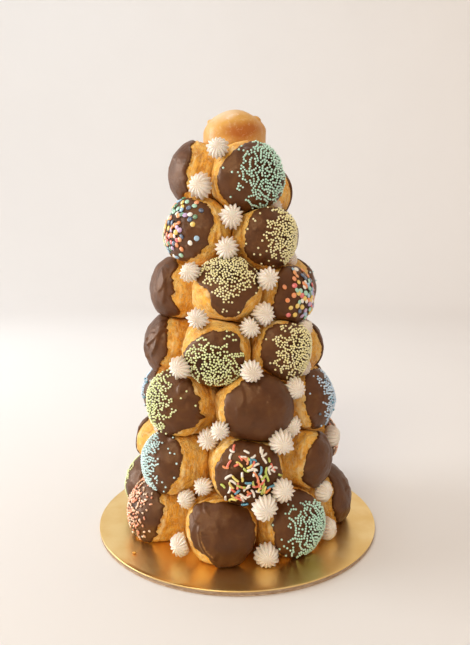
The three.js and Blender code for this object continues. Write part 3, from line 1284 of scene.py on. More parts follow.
    def folds(self) -> tuple[Fold, ...]:
        """The bun's folds: its own, or one or two drawn for it.

        Returns:
            The folds.
        """
        if self.name in FOLDS:
            return FOLDS[self.name]
        drawn = []
        for k in range(2):
            turn, x, y, size, sweep, high, wide = (
                jitter(self.seed, ten + k) for ten in range(30, 100, 10)
            )
            start, stop = 180 * turn, 180 * turn + 110 + 50 * sweep
            height, width = 0.5 + 0.3 * high, 0.14 + 0.04 * wide
            drawn.append(
                Fold(0.35 * x, 0.35 * y, 0.45 + 0.15 * size, start, stop, height, width)
            )
        return tuple(drawn)

    def crust_relief(self, points: Array) -> Array:
        """Shelves round the bun, cracks and small blisters, in millimetres.

        Args:
            points: Points on the bun, in its own frame.

        Returns:
            The relief at each.
        """
        warp = 2.2 * self.grain.at(points * 0.09 + 3)[..., None] * (0, 0, 1)
        shelves = self.grain.layers((points + warp) * (0.035, 0.035, 0.34), 2)
        lines = self.grain.at((points + warp) * (0.05, 0.05, 0.3) + 41)
        cracks = np.clip(1 - np.abs(lines) / 0.12, 0, 1)
        where = np.clip(self.grain.at(points * 0.08 + 7) * 2 + 0.6, 0, 1)
        blisters = np.clip(self.grain.at(points * 0.28 + 19) - 0.3, 0, 1)
        rough = self.grain.layers(points * 0.32 + 53, 2)
        rim = bell((points[..., 2] / self.half - 0.16) / 0.2)
        bands = (0.2 + 0.34 * rim) * shelves
        return bands - 0.55 * cracks * where + 0.9 * blisters + 0.38 * rough

    def smooth_relief(self, points: Array) -> Array:
        """The gentle swellings of the bare bun, with a few blisters, in millimetres.

        Args:
            points: Points on the bun, in its own frame.

        Returns:
            The relief at each.
        """
        swell = self.grain.layers(points * 0.07, 2)
        total = 0.5 * swell + 0.6 * np.clip(self.grain.at(points * 0.3 + 5) - 0.4, 0, 1)
        for bump in BUMPS.get(self.name, ()):
            total = total + bump.relief(points / self.half)
        return total

    def crust_reach(self, ways: Array) -> Array:
        """The reach of the crust with its relief.

        Args:
            ways: Directions of length one.

        Returns:
            The reach along each.
        """
        free = self.free_reach(ways)
        points = ways * free[..., None]
        if self.bare:
            return self.pressed(free + self.smooth_relief(points), ways)
        return self.pressed(free - self.coat + self.crust_relief(points), ways)

    def cap_reach(self, ways: Array) -> Array:
        """The reach of the chocolate's outer face with its folds.

        Args:
            ways: Directions of length one.

        Returns:
            The reach along each.
        """
        free = self.free_reach(ways)
        points = ways * free[..., None]
        swell = 0.62 * self.grain.layers(points * 0.08 + 3, 3)
        swell = swell + 0.8 * np.clip(self.grain.at(points * 0.22 + 29) - 0.45, 0, 1)
        for fold in self.folds():
            swell = swell + fold.height * fold.relief(points[..., :2] / self.half)
        for bump in BUMPS.get(self.name, ()):
            swell = swell + bump.relief(points / self.half)
        return self.pressed(free + self.thickness + swell, ways)

    def build_crust(self) -> Shell:
        """The bun's body as a closed surface, coarse where the chocolate covers it.

        Returns:
            The surface, in the bun's own frame.
        """
        turns = around(self.crust_steps)
        if self.bare:
            shares = np.linspace(0.02, 0.97, 64)
            angles = np.repeat(shares[:, None] * math.pi, self.crust_steps, axis=1)
            sunk = np.zeros_like(angles)
        else:
            edge = self.ragged_edge(turns)[None]
            under = np.linspace(0.25, 1.0, 5)[:, None] * (edge - 0.1)
            end = math.radians(self.last_row)
            seen = edge - 0.05 + np.linspace(0, 1, 50)[:, None] * (end - edge)
            behind = np.radians((150, 160, 170))[:, None] * np.ones_like(edge)
            angles = np.vstack((under, seen, behind))
            sunk = np.zeros_like(angles)
            sunk[: len(under)] = self.sunk
        ways = sphere_ways(angles, np.broadcast_to(turns, angles.shape))
        rows = ways * (self.crust_reach(ways) - sunk)[..., None]
        poles = np.stack((AHEAD, DOWN))
        reach = self.crust_reach(poles) - (0 if self.bare else self.sunk)
        return Shell.lathed(poles[0] * reach[0], rows, poles[1] * reach[1])

    def build_cap(self) -> tuple[Shell, Array]:
        """The chocolate as a closed shell over the crust.

        Returns:
            The shell, and at each point how thin the chocolate is, from 0 to 1.
        """
        turns = around(self.cap_steps)
        edge = self.ragged_edge(turns)[None]
        lip = self.lip / self.half
        body = np.linspace(0.02, 1, 36)[:, None] * (edge - lip)
        bend = np.linspace(0, 1, 8)[1:, None]
        rim = edge - lip + bend * lip
        inner = np.linspace(0.97, 0.1, 4)[:, None] * (edge - 0.4 * lip)
        over = sphere_ways(np.vstack((body, rim)), turns)
        bead = bell((np.vstack((body, rim)) - edge + 1.6 * lip) / (1.2 * lip))
        outer = self.cap_reach(over) + 0.3 * bead
        crust = self.crust_reach(over)
        share = np.vstack((np.ones_like(body), np.sqrt(np.clip(1 - bend**2, 0, 1)) + 0 * edge))
        reach = crust + (outer - crust) * share - 0.25 * (1 - share)
        rows = over * reach[..., None]
        ways = sphere_ways(inner, np.broadcast_to(turns, inner.shape))
        hidden = ways * (self.crust_reach(ways) - self.inside)[..., None]
        front = AHEAD * self.cap_reach(AHEAD[None])[0]
        back = AHEAD * (self.crust_reach(AHEAD[None])[0] - self.inside)
        shell = Shell.lathed(front, np.vstack((rows, hidden)), back)
        thin = np.zeros(len(shell.points))
        for fold in self.folds():
            thin = np.maximum(thin, fold.bare * fold.relief(shell.points[:, :2] / self.half))
        return shell, thin

    @property
    def patch(self) -> "Patch":
        """Where the bun's sprinkles lie: its own patch, or one drawn for it.

        Returns:
            The patch.
        """
        if self.name in PATCHES:
            return PATCHES[self.name]
        count = USUAL_COUNTS.get(self.spot.dress, 230)
        return Patch(0.5 * jitter(self.seed, 21), 0.4 * jitter(self.seed, 22), 0.5, count, 24)

    def sprinkle_shading(self, shell: Shell) -> Array:
        """How thick the sprinkles lie over each point of the chocolate, from 0 to 1, which the
        chocolate paints as shadow.

        Args:
            shell: The chocolate.

        Returns:
            A value at each of its points.
        """
        if self.spot.dress in (Dress.PLAIN, Dress.BARE):
            return np.zeros(len(shell.points))
        ways = unit(shell.points)
        turns = np.arctan2(ways[:, 1], ways[:, 0])
        shares = np.arccos(np.clip(ways[:, 2], -1, 1)) / self.dip_edge(turns)
        flat = np.stack((shares * np.cos(turns), shares * np.sin(turns)), axis=-1)
        away = np.linalg.norm(flat - (self.patch.x, self.patch.y), axis=-1)
        return bell(away / self.patch.spread)

    def marks(self, shell: Shell) -> Array:
        """Coordinates for the materials: the bun's own, moved on for each bun."""
        return shell.points + self.seed * np.array((13.7, 7.9, 0.0))

    def raised(self, shell: Shell) -> Array:
        """How high the crust's relief stands at each point, from 0 to 1, for painted light on its
        ridges and painted shade in its hollows.
        """
        free = self.free_reach(unit(shell.points))[:, None] * unit(shell.points)
        return np.clip(0.5 + 0.7 * self.crust_relief(free), 0, 1)

    def toasting(self, shell: Shell) -> Array:
        """How dark the bare bun is baked at each point, deepest low on its front, less a painted
        highlight on its upper left front.

        Args:
            shell: The crust.

        Returns:
            A value from 0 to 1 at each of its points.
        """
        ways = unit(shell.points)
        aside = (ways[:, 0] - 0.25) / 0.6
        rise = (ways[:, 2] + 0.1 - 0.3 * ways[:, 0] ** 2) / 0.24
        dark = np.exp(-(aside**2 + rise**2)) * (ways[:, 1] < 0)
        back = bell(np.linalg.norm(ways - (0.3, 0.9, 0.0), axis=1) / 0.7)
        # Painted highlight: the upper left front, which faces the window light, is made paler.
        pale = bell(np.linalg.norm(ways - (-0.45, -0.62, 0.65), axis=1) / 0.6)
        return np.clip(0.36 + 0.6 * np.maximum(dark, back) - 0.4 * pale, 0, 1)

    def gap_shading(self, shell: Shell) -> Array:
        """How near a point is to the gaps behind the faces, from 0 to 1, for the painted shade
        there.
        """
        depth = -shell.points[:, 2] / self.half
        return np.clip((depth + 0.1) / 0.9, 0, 1)

    def dressed(self, finishes: "Finishes") -> None:
        """Makes the bun's pieces.

        Args:
            finishes: The tower's materials.
        """
        crust = self.build_crust()
        on = {"own": self.facing, "centre": self.centre}
        paint = finishes.top if self.bare else finishes.choux
        piece = Piece(self.name + "_crust", "choux", (self.name,), (paint,))
        if self.bare:
            piece.make(crust, **on, grain=self.marks(crust), toast=self.toasting(crust))
            return
        # Marks for the painted shade towards the gaps and the painted light and shade on the
        # relief.
        low, raised = self.gap_shading(crust), self.raised(crust)
        piece.make(crust, **on, grain=self.marks(crust), low=low, raised=raised)
        cap, thin = self.build_cap()
        piece = Piece(self.name + "_chocolate", "chocolate", (self.name,), (finishes.chocolate,))
        # The crowd mark carries the painted shadow under the sprinkles.
        piece.make(cap, **on, grain=self.marks(cap), thin=thin, crowd=self.sprinkle_shading(cap))


# ---- Cream stars ----


@dataclass
class Star:
    """A piped cream star: sharp ridges that swirl a little to a soft tip.

    Radius, height, foot and root are millimetres, and groove is a share of the reach.
    """

    name: str
    seed: int
    centre: Array
    facing: Facing
    node: str = ""
    size: float = 1.0
    limits: list[tuple[Array, float]] = field(default_factory=list)
    radius: float = 8.6
    height: float = 7.6
    foot: float = 7.0
    ridges: int = 15
    steps: int = 8
    groove: float = 0.27
    twist: float = 0.3
    root: float = 5.0
    host: Bun | None = None

    def confine(self, buns: Iterable[Bun], stars: Iterable["Star"]) -> None:
        """Finds the planes that keep the star clear of board, buns and other stars.

        Args:
            buns: The buns that it may not enter.
            stars: All stars.
        """
        self.limits = [(DOWN, self.centre[2] - BOARD_THICKNESS - GAP)]
        for one in buns:
            way = unit(self.centre - one.centre)
            own = one.facing.inward(way)
            asides = unit(np.vstack((own, own + 0.04 * np.eye(3))))
            reach = one.pressed(one.free_reach(asides, one.solid_fullness) + GAP, asides)
            points = asides * reach[:, None]
            steps = points[1:] - points[0]
            crosses = np.cross(steps, np.roll(steps, -1, axis=0))
            normal = unit(crosses[np.argmax(np.linalg.norm(crosses, axis=1))])
            normal = one.facing.outward(-normal if normal @ own > 0 else normal)
            touch = one.facing.outward(points[0]) + one.centre
            distance = float((touch - self.centre) @ normal)
            if distance < 2 * self.radius:
                self.limits.append((normal, distance))
        for other in stars:
            apart = float(np.linalg.norm(other.centre - self.centre))
            if other is self or apart > 2.4 * self.radius:
                continue
            self.limits.append(((other.centre - self.centre) / apart, (apart - GAP) / 2))

    def held(self, points: Array) -> Array:
        """Points drawn in towards the star's middle until they are inside its planes.

        Args:
            points: Points from the star's middle.

        Returns:
            The points, where they may be.
        """
        share = np.ones(points.shape[:-1])
        for normal, distance in self.limits:
            towards = points @ normal
            over = towards > distance
            share = np.where(over, np.minimum(share, distance / np.where(over, towards, 1)), share)
        return points * share[..., None]

    def profile(self) -> list[tuple[float, float]]:
        """The star's heights and widths as shares, from its tip to its foot.

        Returns:
            A height and a width for each row.
        """
        stations = []
        for step in np.linspace(0.97, 0, 12):
            arc = step * math.pi / 2
            stations.append((math.sin(arc) ** 0.85, math.cos(arc) ** 0.75))
        return stations + [(-0.07, 0.97), (-0.22, 0.86), (-0.45, 0.6)]

    def build(self) -> Shell:
        """The star as a closed surface round its own middle, in the tower's directions.

        Returns:
            The surface.
        """
        columns = self.ridges * self.steps
        turns = around(columns)
        crest = (1 - np.abs(2 * (turns * self.ridges / (2 * np.pi) % 1) - 1)) ** 0.9
        size, height = self.radius * self.size, self.height * self.size
        swirl = self.twist * jitter(self.seed, 4)
        uneven = 1 + 0.03 * np.sin(2 * turns + self.seed)
        uneven = uneven + 0.025 * np.sin(3 * turns + 2 * self.seed)
        each = np.array([jitter(self.seed, 100 + k // self.steps) for k in range(columns)])
        length = uneven * (1 + 0.09 * each * crest)
        rows = []
        for lift, wide in self.profile():
            inward = max(0.0, 1 - wide) if lift > 0 else 0.0
            cut = self.groove * (0.35 + 0.65 * wide**2)
            reach = size * wide * length * (1 - cut * (1 - crest))
            rise = height * lift - 0.55 * (1 - crest) * min(1.0, 4 * wide) * (lift > 0.2)
            twisted = turns + swirl * inward + self.seed
            rows.append(np.stack((reach * np.cos(twisted), reach * np.sin(twisted), rise), axis=-1))
        grid = self.held(self.facing.outward(np.array(rows)))
        tip = self.held(self.facing.outward(np.array((0.0, 0.0, height * 0.99))))
        if self.host is None:
            end = self.held(self.facing.outward(np.array((0.0, 0.0, -self.foot))))
        else:
            depth = self.host.clearance(self.centre) + self.root
            end = unit(self.host.centre - self.centre) * depth
        return Shell.lathed(tip, grid, end)

    def dressed(self, finishes: "Finishes") -> None:
        """Makes the star's piece.

        Args:
            finishes: The tower's materials.
        """
        shell = self.build()
        marks = self.facing.inward(shell.points) + self.seed * np.array((5.3, 9.1, 0.0))
        placed = Shell(shell.points + self.centre, shell.faces)
        piece = Piece(self.name, "cream", (self.node,), (finishes.cream,))
        piece.make(placed, grain=marks)


# ---- Sprinkles ----


@dataclass(frozen=True)
class Patch:
    """Where the sprinkles of a face lie thickest: place, spread, how many, and strays.

    Places are shares of the way from the face's middle to the chocolate's edge.
    """

    x: float
    y: float
    spread: float
    count: int
    strays: int = 12


PATCHES = {
    "bun_7_2": Patch(0.42, 0.1, 0.58, 335, 26),
    "bun_6_2": Patch(0.42, 0.06, 0.52, 330, 34),
    "bun_5_2": Patch(0.0, 0.32, 0.52, 270, 40),
    "bun_4_2": Patch(-0.04, -0.12, 0.6, 265, 16),
    "bun_4_3": Patch(0.22, 0.04, 0.54, 325, 26),
    "bun_3_1": Patch(-0.2, 0.1, 0.5, 200, 12),
    "bun_3_2": Patch(-0.48, 0.0, 0.52, 270, 22),
    "bun_3_4": Patch(0.38, 0.05, 0.5, 270, 14),
    "bun_2_2": Patch(-0.48, -0.02, 0.54, 330, 44),
    "bun_1_1": Patch(-0.35, 0.0, 0.5, 180, 0),
    "bun_1_2": Patch(-0.42, -0.08, 0.66, 240, 16),
    "bun_1_4": Patch(0.38, -0.12, 0.58, 300, 34),
    "bun_5_3": Patch(0.36, 0.06, 0.62, 70, 5),
    "bun_6_1": Patch(-0.34, 0.1, 0.62, 80, 4),
    "bun_2_3": Patch(0.0, -0.08, 0.56, 82, 10),
}
USUAL_COUNTS = {Dress.RAINBOW: 50, Dress.CONFETTI: 36, Dress.CORAL: 140}


class Shape(Enum):
    """The shapes that sugar comes in."""

    PEARL = "pearl"
    BEAD = "bead"
    BIT = "bit"
    STRAND = "strand"
    DISC = "disc"


@dataclass(frozen=True)
class Sugar:
    """A kind of sprinkle: its piece's name, shape, sizes and colours."""

    name: str
    shape: Shape
    radius: float
    length: float
    tints: tuple[str, ...]
    spacing: float
    rise: float = 0.45
    chain: int = 1
    apart: float = 1.0
    clumped: bool = False

    @property
    def round(self) -> bool:
        """Whether it is a ball, which looks the same from all sides."""
        return self.shape in (Shape.PEARL, Shape.BEAD)


# Each kind's tint, its longest chain, how far chains keep apart and whether it clumps.
PEARLS = {
    Dress.MINT: ("c4f4e0", 12, 1.12, False),
    Dress.LEMON: ("fff6b4", 4, 1.0, True),
    Dress.LIME: ("f0fab4", 6, 1.03, True),
    Dress.SKY: ("c4e2fc", 5, 1.0, True),
    Dress.AQUA: ("d4f7fa", 4, 1.0, True),
}
CORAL_TINTS = ("f8b082", "fac79c", "fddfbe", "ee9266")
RAINBOW_TINTS = ("fbf3e6", "f0643c", "f2dd6a", "c2d24a", "3c93b0", "fbf3e6", "f58a3c")
CONFETTI_TINTS = (
    "f6cf5a", "f58f42", "a6dcc4", "9cc6e4", "f0686a", "fbf3e8", "4f8a5c", "3d5a80", "f6cf5a",
    "f3a868", "c6a2d0",
)
SUGARS = {
    dress: Sugar(f"pearls_{dress.value}", Shape.PEARL, 0.8, 0, (tint,), 1.62, 0.45, *ways)
    for dress, (tint, *ways) in PEARLS.items()
} | {
    Dress.CORAL: Sugar("bits_coral", Shape.BIT, 0.74, 2.8, CORAL_TINTS, 1.5, 0.8),
    Dress.RAINBOW: Sugar("strands_rainbow", Shape.STRAND, 0.88, 6.0, RAINBOW_TINTS, 1.8, 0.9),
    Dress.CONFETTI: Sugar("confetti_discs", Shape.DISC, 1.95, 1.7, CONFETTI_TINTS, 2.6, 0.66),
}
DARK_BEADS = Sugar("beads_blue", Shape.BEAD, 1.15, 0, ("2f4f66", "5aa3c0"), 3.0, 0.7)


class Grains:
    """The small shells that sprinkles are made of, drawn round their own middle."""

    @staticmethod
    def pearl() -> tuple[Array, Array]:
        """A ball of radius one: an icosahedron split once, and its triangles.

        Returns:
            Its points and triangles.
        """
        golden = (1 + math.sqrt(5)) / 2
        corners = [
            p
            for a in (-1.0, 1.0)
            for b in (-golden, golden)
            for p in ((0.0, a, b), (a, b, 0.0), (b, 0.0, a))
        ]
        points = [unit(np.array(p)) for p in corners]
        edge = min(float(np.linalg.norm(points[0] - other)) for other in points[1:])
        count = len(points)
        halves: dict[tuple[int, int], int] = {}

        def near(i: int, j: int) -> bool:
            """Whether two corners share an edge."""
            return np.linalg.norm(points[i] - points[j]) < 1.01 * edge

        def middle(i: int, j: int) -> int:
            """The number of the point halfway along an edge.

            Args:
                i: The corner at one end.
                j: The corner at the other.

            Returns:
                Its number.
            """
            key = (min(i, j), max(i, j))
            if key not in halves:
                halves[key] = len(points)
                points.append(unit(points[i] + points[j]))
            return halves[key]

        faces = []
        for i, j, k in combinations(range(count), 3):
            if not (near(i, j) and near(j, k) and near(i, k)):
                continue
            turned = np.cross(points[j] - points[i], points[k] - points[i]) @ points[i]
            a, b, c = (i, j, k) if turned > 0 else (i, k, j)
            ab, bc, ca = middle(a, b), middle(b, c), middle(c, a)
            faces += [(a, ab, ca), (ab, b, bc), (ca, bc, c), (ab, bc, ca)]
        return np.array(points), np.array(faces)

    @staticmethod
    def strand(radius: float, length: float, bend: float) -> tuple[Array, Array]:
        """A rod with rounded ends along x, bent a little sideways.

        Args:
            radius: Half its thickness.
            length: Its length with the ends.
            bend: How far its middle stands off the straight line.

        Returns:
            Its points and triangles.
        """
        sides, cap = 8, 3
        half = length / 2 - radius
        arc = np.linspace(0, math.pi / 2, cap + 1)[1:]
        stations = [(-half - radius * math.cos(a), radius * math.sin(a)) for a in arc]
        stations += [(x, radius) for x in np.linspace(-half, half, 5)[1:-1]]
        stations += [(-x, r) for x, r in reversed(stations[:cap])]
        rows = []
        for x, r in stations:
            aside = bend * (1 - (x / (length / 2)) ** 2)
            rows.append([(x, r * math.cos(t) + aside, r * math.sin(t)) for t in around(sides)])
        end = np.array((length / 2, 0, 0))
        shell = Shell.lathed(-end, np.array(rows), end)
        return shell.points, Grains.triangles(shell.faces)

    @staticmethod
    def disc(radius: float, thickness: float) -> tuple[Array, Array]:
        """A round lentil, thicker in its middle, lying in the xy plane.

        Args:
            radius: Its radius.
            thickness: Its thickness.

        Returns:
            Its points and triangles.
        """
        sides = 14
        outline = ((0.4, 0.47), (0.72, 0.36), (0.93, 0.18), (1, 0), (0.9, -0.22), (0.55, -0.42))
        rows = []
        for wide, high in outline:
            reach, z = radius * wide, thickness * high
            rows.append([(reach * math.cos(t), reach * math.sin(t), z) for t in around(sides)])
        pole = np.array((0, 0, thickness / 2))
        shell = Shell.lathed(pole, np.array(rows), -pole)
        return shell.points, Grains.triangles(shell.faces)

    @staticmethod
    def triangles(faces: list[tuple[int, ...]]) -> Array:
        """Faces of three or four corners as triangles.

        Args:
            faces: The faces.

        Returns:
            The triangles.
        """
        made = []
        for first, *others in faces:
            made += [(first, one, other) for one, other in zip(others, others[1:])]
        return np.array(made)


@dataclass
class Face:
    """A lookup of the places on a bun's chocolate, and of those that are free."""

    bun: Bun
    buns: Sequence[Bun]
    stars: Sequence[Star]
    rows: int = 30
    columns: int = 90
    edge_share: float = 0.95
    press_limit: float = 0.5
    bun_room: float = 0.8
    clump_scale: float = 0.3

    def __post_init__(self) -> None:
        """Measures the face once."""
        shares = np.linspace(0, self.edge_share, self.rows)
        turns = around(self.columns)
        self.edges = self.bun.ragged_edge(turns)
        angles = shares[:, None] * self.edges[None]
        ways = sphere_ways(angles, np.broadcast_to(turns, angles.shape))
        self.reach = self.bun.cap_reach(ways)
        patches = self.bun.grain.at(ways * self.reach[..., None] * self.clump_scale)
        self.clumps = np.clip(0.85 + patches, 0.3, 1.0)
        free = self.bun.free_reach(ways) - self.reach < self.press_limit
        tower = self.bun.facing.outward(ways * self.reach[..., None]) + self.bun.centre
        for star in self.stars:
            free &= np.linalg.norm(tower - star.centre, axis=-1) > star.radius * star.size * 0.95
        for other in self.buns:
            room = self.bun.half + other.half + 3
            if other is self.bun or np.linalg.norm(other.centre - self.bun.centre) > room:
                continue
            away = other.facing.inward(tower - other.centre)
            apart = np.linalg.norm(away, axis=-1)
            towards = away / apart[..., None]
            reach = other.pressed(other.free_reach(towards), towards)
            free &= apart - reach > self.bun_room
        self.free = free

    def seat(self, way: Sequence[float]) -> tuple[float, float, Triple, float] | None:
        """The free place in a direction from the bun's middle.

        Args:
            way: The direction, of length one, in the bun's own frame.

        Returns:
            Its share of the way to the edge, its turn, its point and how well sprinkles
            gather there, or None.
        """
        turn = math.atan2(way[1], way[0]) % (2 * math.pi)
        column = turn / (2 * math.pi) * self.columns
        left = int(column) % self.columns
        right, across = (left + 1) % self.columns, column - int(column)
        edge = self.edges[left] * (1 - across) + self.edges[right] * across
        share = math.acos(max(-1.0, min(1.0, way[2]))) / edge
        row = share / self.edge_share * (self.rows - 1)
        if row >= self.rows - 1:
            return None
        low, along = int(row), row - int(row)
        nearest = low + (along > 0.5), left if across < 0.5 else right
        if not self.free[nearest]:
            return None
        first, second = (
            self.reach[k, left] * (1 - across) + self.reach[k, right] * across
            for k in (low, low + 1)
        )
        reach = first * (1 - along) + second * along
        point = (way[0] * reach, way[1] * reach, way[2] * reach)
        return share, turn, point, float(self.clumps[nearest])


@dataclass
class Crowd:
    """Points that keep a distance from each other, found quickly by their cells."""

    spacing: float
    apart: float = 1.0
    cells: dict[tuple[int, int, int], list[tuple[Triple, int]]] = field(default_factory=dict)

    def cell(self, point: Sequence[float]) -> tuple[int, int, int]:
        """The cell that a point is in."""
        return tuple(int(math.floor(value / self.spacing / self.apart)) for value in point)

    def add(self, point: Triple, chain: int) -> bool:
        """Adds a point of a chain where there is room for it.

        Args:
            point: The point.
            chain: The chain's number. Other chains keep further away than its own points.

        Returns:
            Whether there was room.
        """
        x, y, z = self.cell(point)
        near = (0.97 * self.spacing) ** 2
        far = (0.97 * self.spacing * self.apart) ** 2
        for i, j, k in NEIGHBOURS:
            for other, number in self.cells.get((x + i, y + j, z + k), ()):
                room = near if number == chain else far
                if sum((a - b) ** 2 for a, b in zip(point, other)) < room:
                    return False
        self.cells.setdefault((x, y, z), []).append((point, chain))
        return True


@dataclass
class Sprinkler:
    """Scatters each kind of sugar over the faces of the buns that carry it.

    Some sprinkles are ruled: they lie along a spiral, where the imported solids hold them.
    """

    buns: Sequence[Bun]
    stars: Sequence[Star]
    ruled: dict[Dress, int] = field(
        default_factory=lambda: {Dress.RAINBOW: 20, Dress.CONFETTI: 13}
    )
    bends: tuple[float, ...] = (0.0, 0.5, -0.5, 1.0, -1.0)
    tries: int = 30
    stray_tries: int = 6
    lay_seed: int = 1000
    turn_seed: int = 5000
    lean: float = 0.16
    beaded: tuple[str, ...] = ("bun_3_4", "bun_3_1")
    beads: Patch = Patch(0.05, -0.1, 0.5, 7, 4)
    ball: tuple[Array, Array] = field(default_factory=Grains.pearl)

    def scatter(self, bun: Bun, sugar: Sugar, patch: Patch) -> tuple[Array, Array]:
        """Lays a bun's sprinkles, pearls in short chains and the rest one by one.

        Args:
            bun: The bun.
            sugar: What is scattered, for its spacing.
            patch: Where it lies thickest.

        Returns:
            The chosen points and normals in the bun's own frame.
        """
        rng = np.random.default_rng(self.lay_seed + bun.seed)
        surface = Face(bun, self.buns, self.stars)
        crowd = Crowd(sugar.spacing, sugar.apart)
        chosen: list[tuple[float, float]] = []

        def lay(way: Array, level: float, chain: int) -> Array | None:
            """Lays one sprinkle where there is room and it lies thick enough.

            Args:
                way: Its direction from the bun's middle.
                level: How thick sprinkles have to lie there.
                chain: The number of its chain.

            Returns:
                Its point, or None.
            """
            seat = surface.seat(way)
            if seat is None:
                return None
            share, turn, point, clump = seat
            away = math.hypot(share * math.cos(turn) - patch.x, share * math.sin(turn) - patch.y)
            thick = math.exp(-((away / patch.spread) ** 2))
            if level > 0 and sugar.clumped:
                thick *= clump
            if thick < level or not crowd.add(point, chain):
                return None
            chosen.append((share, turn))
            return np.array(point)

        for k in range(self.ruled.get(bun.spot.dress, 0)):
            turn = GOLDEN_ANGLE * k + bun.seed
            angle = 0.82 * float(bun.dip_edge(np.array(turn)))
            angle *= math.sqrt((k + 0.5) / self.ruled[bun.spot.dress])
            lay(sphere_ways(np.array(angle), np.array(turn)), 0.0, -1 - k)
        for attempt in range(self.tries * patch.count):
            if len(chosen) >= patch.count:
                break
            stray = attempt < self.stray_tries * patch.strays
            angle = math.radians(bun.spot.dip) * math.sqrt(rng.random())
            turn = 2 * math.pi * rng.random()
            level = 0.0 if stray else rng.uniform(0.04, 0.7)
            if stray and len(chosen) > patch.strays:
                continue
            spot = lay(sphere_ways(np.array(angle), np.array(turn)), level, attempt)
            heading = 2 * math.pi * rng.random()
            links = 0 if stray else int(rng.integers(0, sugar.chain))
            for _ in range(links):
                if spot is None:
                    break
                out = unit(spot)
                side = unit(np.cross(out, (0.3, 0.2, 1.0)))
                ahead = np.cross(out, side)
                following = None
                for bend in self.bends:
                    turned = heading + bend
                    step = math.cos(turned) * side + math.sin(turned) * ahead
                    ahead_of = spot + rng.uniform(1.0, 1.08) * sugar.spacing * step
                    following = lay(unit(ahead_of), level, attempt)
                    if following is not None:
                        heading = turned + 0.4 * rng.normal()
                        break
                spot = following
        shares, turns = np.array(chosen).T
        columns = np.linspace(0, 2 * np.pi, surface.columns + 1)
        edges = np.append(surface.edges, surface.edges[0])
        return self.seats(bun, shares * np.interp(turns, columns, edges), turns)

    def seats(self, bun: Bun, angles: Array, turns: Array) -> tuple[Array, Array]:
        """Points and normals on a bun's chocolate at angles and turns.

        Args:
            bun: The bun.
            angles: Angles from the face's middle, in radians.
            turns: Turns round the face, in radians.

        Returns:
            The points and the normals.
        """
        ways = sphere_ways(angles, turns)
        points = ways * bun.cap_reach(ways)[:, None]
        step = 0.02
        beside = turns + step / np.sin(angles + 1e-3)
        sides = []
        for moved in (sphere_ways(angles + step, turns), sphere_ways(angles, beside)):
            sides.append(moved * bun.cap_reach(moved)[:, None] - points)
        return points, unit(np.cross(sides[0], sides[1]))

    def grain_for(self, sugar: Sugar, rng: np.random.Generator) -> tuple[Array, Array]:
        """One sprinkle's points and triangles, lying in its own xy plane.

        Args:
            sugar: Its kind.
            rng: Where its size is drawn from.

        Returns:
            The points and the triangles.
        """
        if sugar.round:
            points, faces = self.ball
            return points * sugar.radius * rng.uniform(0.9, 1.08), faces
        if sugar.shape is Shape.DISC:
            return Grains.disc(sugar.radius * rng.uniform(0.92, 1.05), sugar.length)
        length = sugar.length * rng.uniform(0.66, 1.14)
        return Grains.strand(sugar.radius, length, length * rng.uniform(0, 0.16))

    def heap_up(self, heap: Heap, bun: Bun, sugar: Sugar, spots: tuple[Array, Array]) -> None:
        """Adds a bun's sprinkles to the heap of their kind.

        Args:
            heap: The heap.
            bun: The bun that they lie on.
            sugar: Their kind.
            spots: Their points and normals in the bun's own frame.
        """
        rng = np.random.default_rng(self.turn_seed + bun.seed)
        tilt = 0.0 if sugar.round else self.lean
        for point, normal in zip(*spots):
            up = unit(bun.facing.outward(normal) + tilt * rng.normal(size=3))
            side = rng.normal(size=3)
            side = unit(side - up * (side @ up))
            axes = np.stack((side, np.cross(up, side), up))
            thick = sugar.length / 2 if sugar.shape is Shape.DISC else sugar.radius
            centre = bun.facing.outward(point) + bun.centre + up * thick * sugar.rise
            points, faces = self.grain_for(sugar, rng)
            paint = int(rng.integers(len(sugar.tints)))
            heap.add(points @ axes + centre, faces, paint)

    def dressed(self, finishes: "Finishes") -> None:
        """Makes one piece for each kind of sugar.

        Args:
            finishes: The tower's materials.
        """
        for dress, sugar in SUGARS.items():
            carriers = [one for one in self.buns if one.spot.dress is dress]
            self.piece(sugar, [(one, one.patch) for one in carriers], finishes)
        carriers = [one for one in self.buns if one.name in self.beaded]
        self.piece(DARK_BEADS, [(one, self.beads) for one in carriers], finishes)

    def piece(
        self, sugar: Sugar, carriers: Sequence[tuple[Bun, Patch]], finishes: "Finishes"
    ) -> None:
        """Makes the piece of one kind of sugar.

        Args:
            sugar: The kind.
            carriers: The buns that carry it, each with its patch.
            finishes: The tower's materials.
        """
        heap = Heap()
        for bun, patch in carriers:
            self.heap_up(heap, bun, sugar, self.scatter(bun, sugar, patch))
        shell, paints = heap.merged()
        names = tuple(bun.name for bun, _ in carriers)
        washed = 0.5 if sugar.shape is Shape.PEARL else 0.2
        materials = tuple(finishes.sugar(tint, washed) for tint in sugar.tints)
        piece = Piece(sugar.name, "sugar", names, materials)
        piece.make(shell, paints=paints, grain=shell.points)


# ---- The board ----


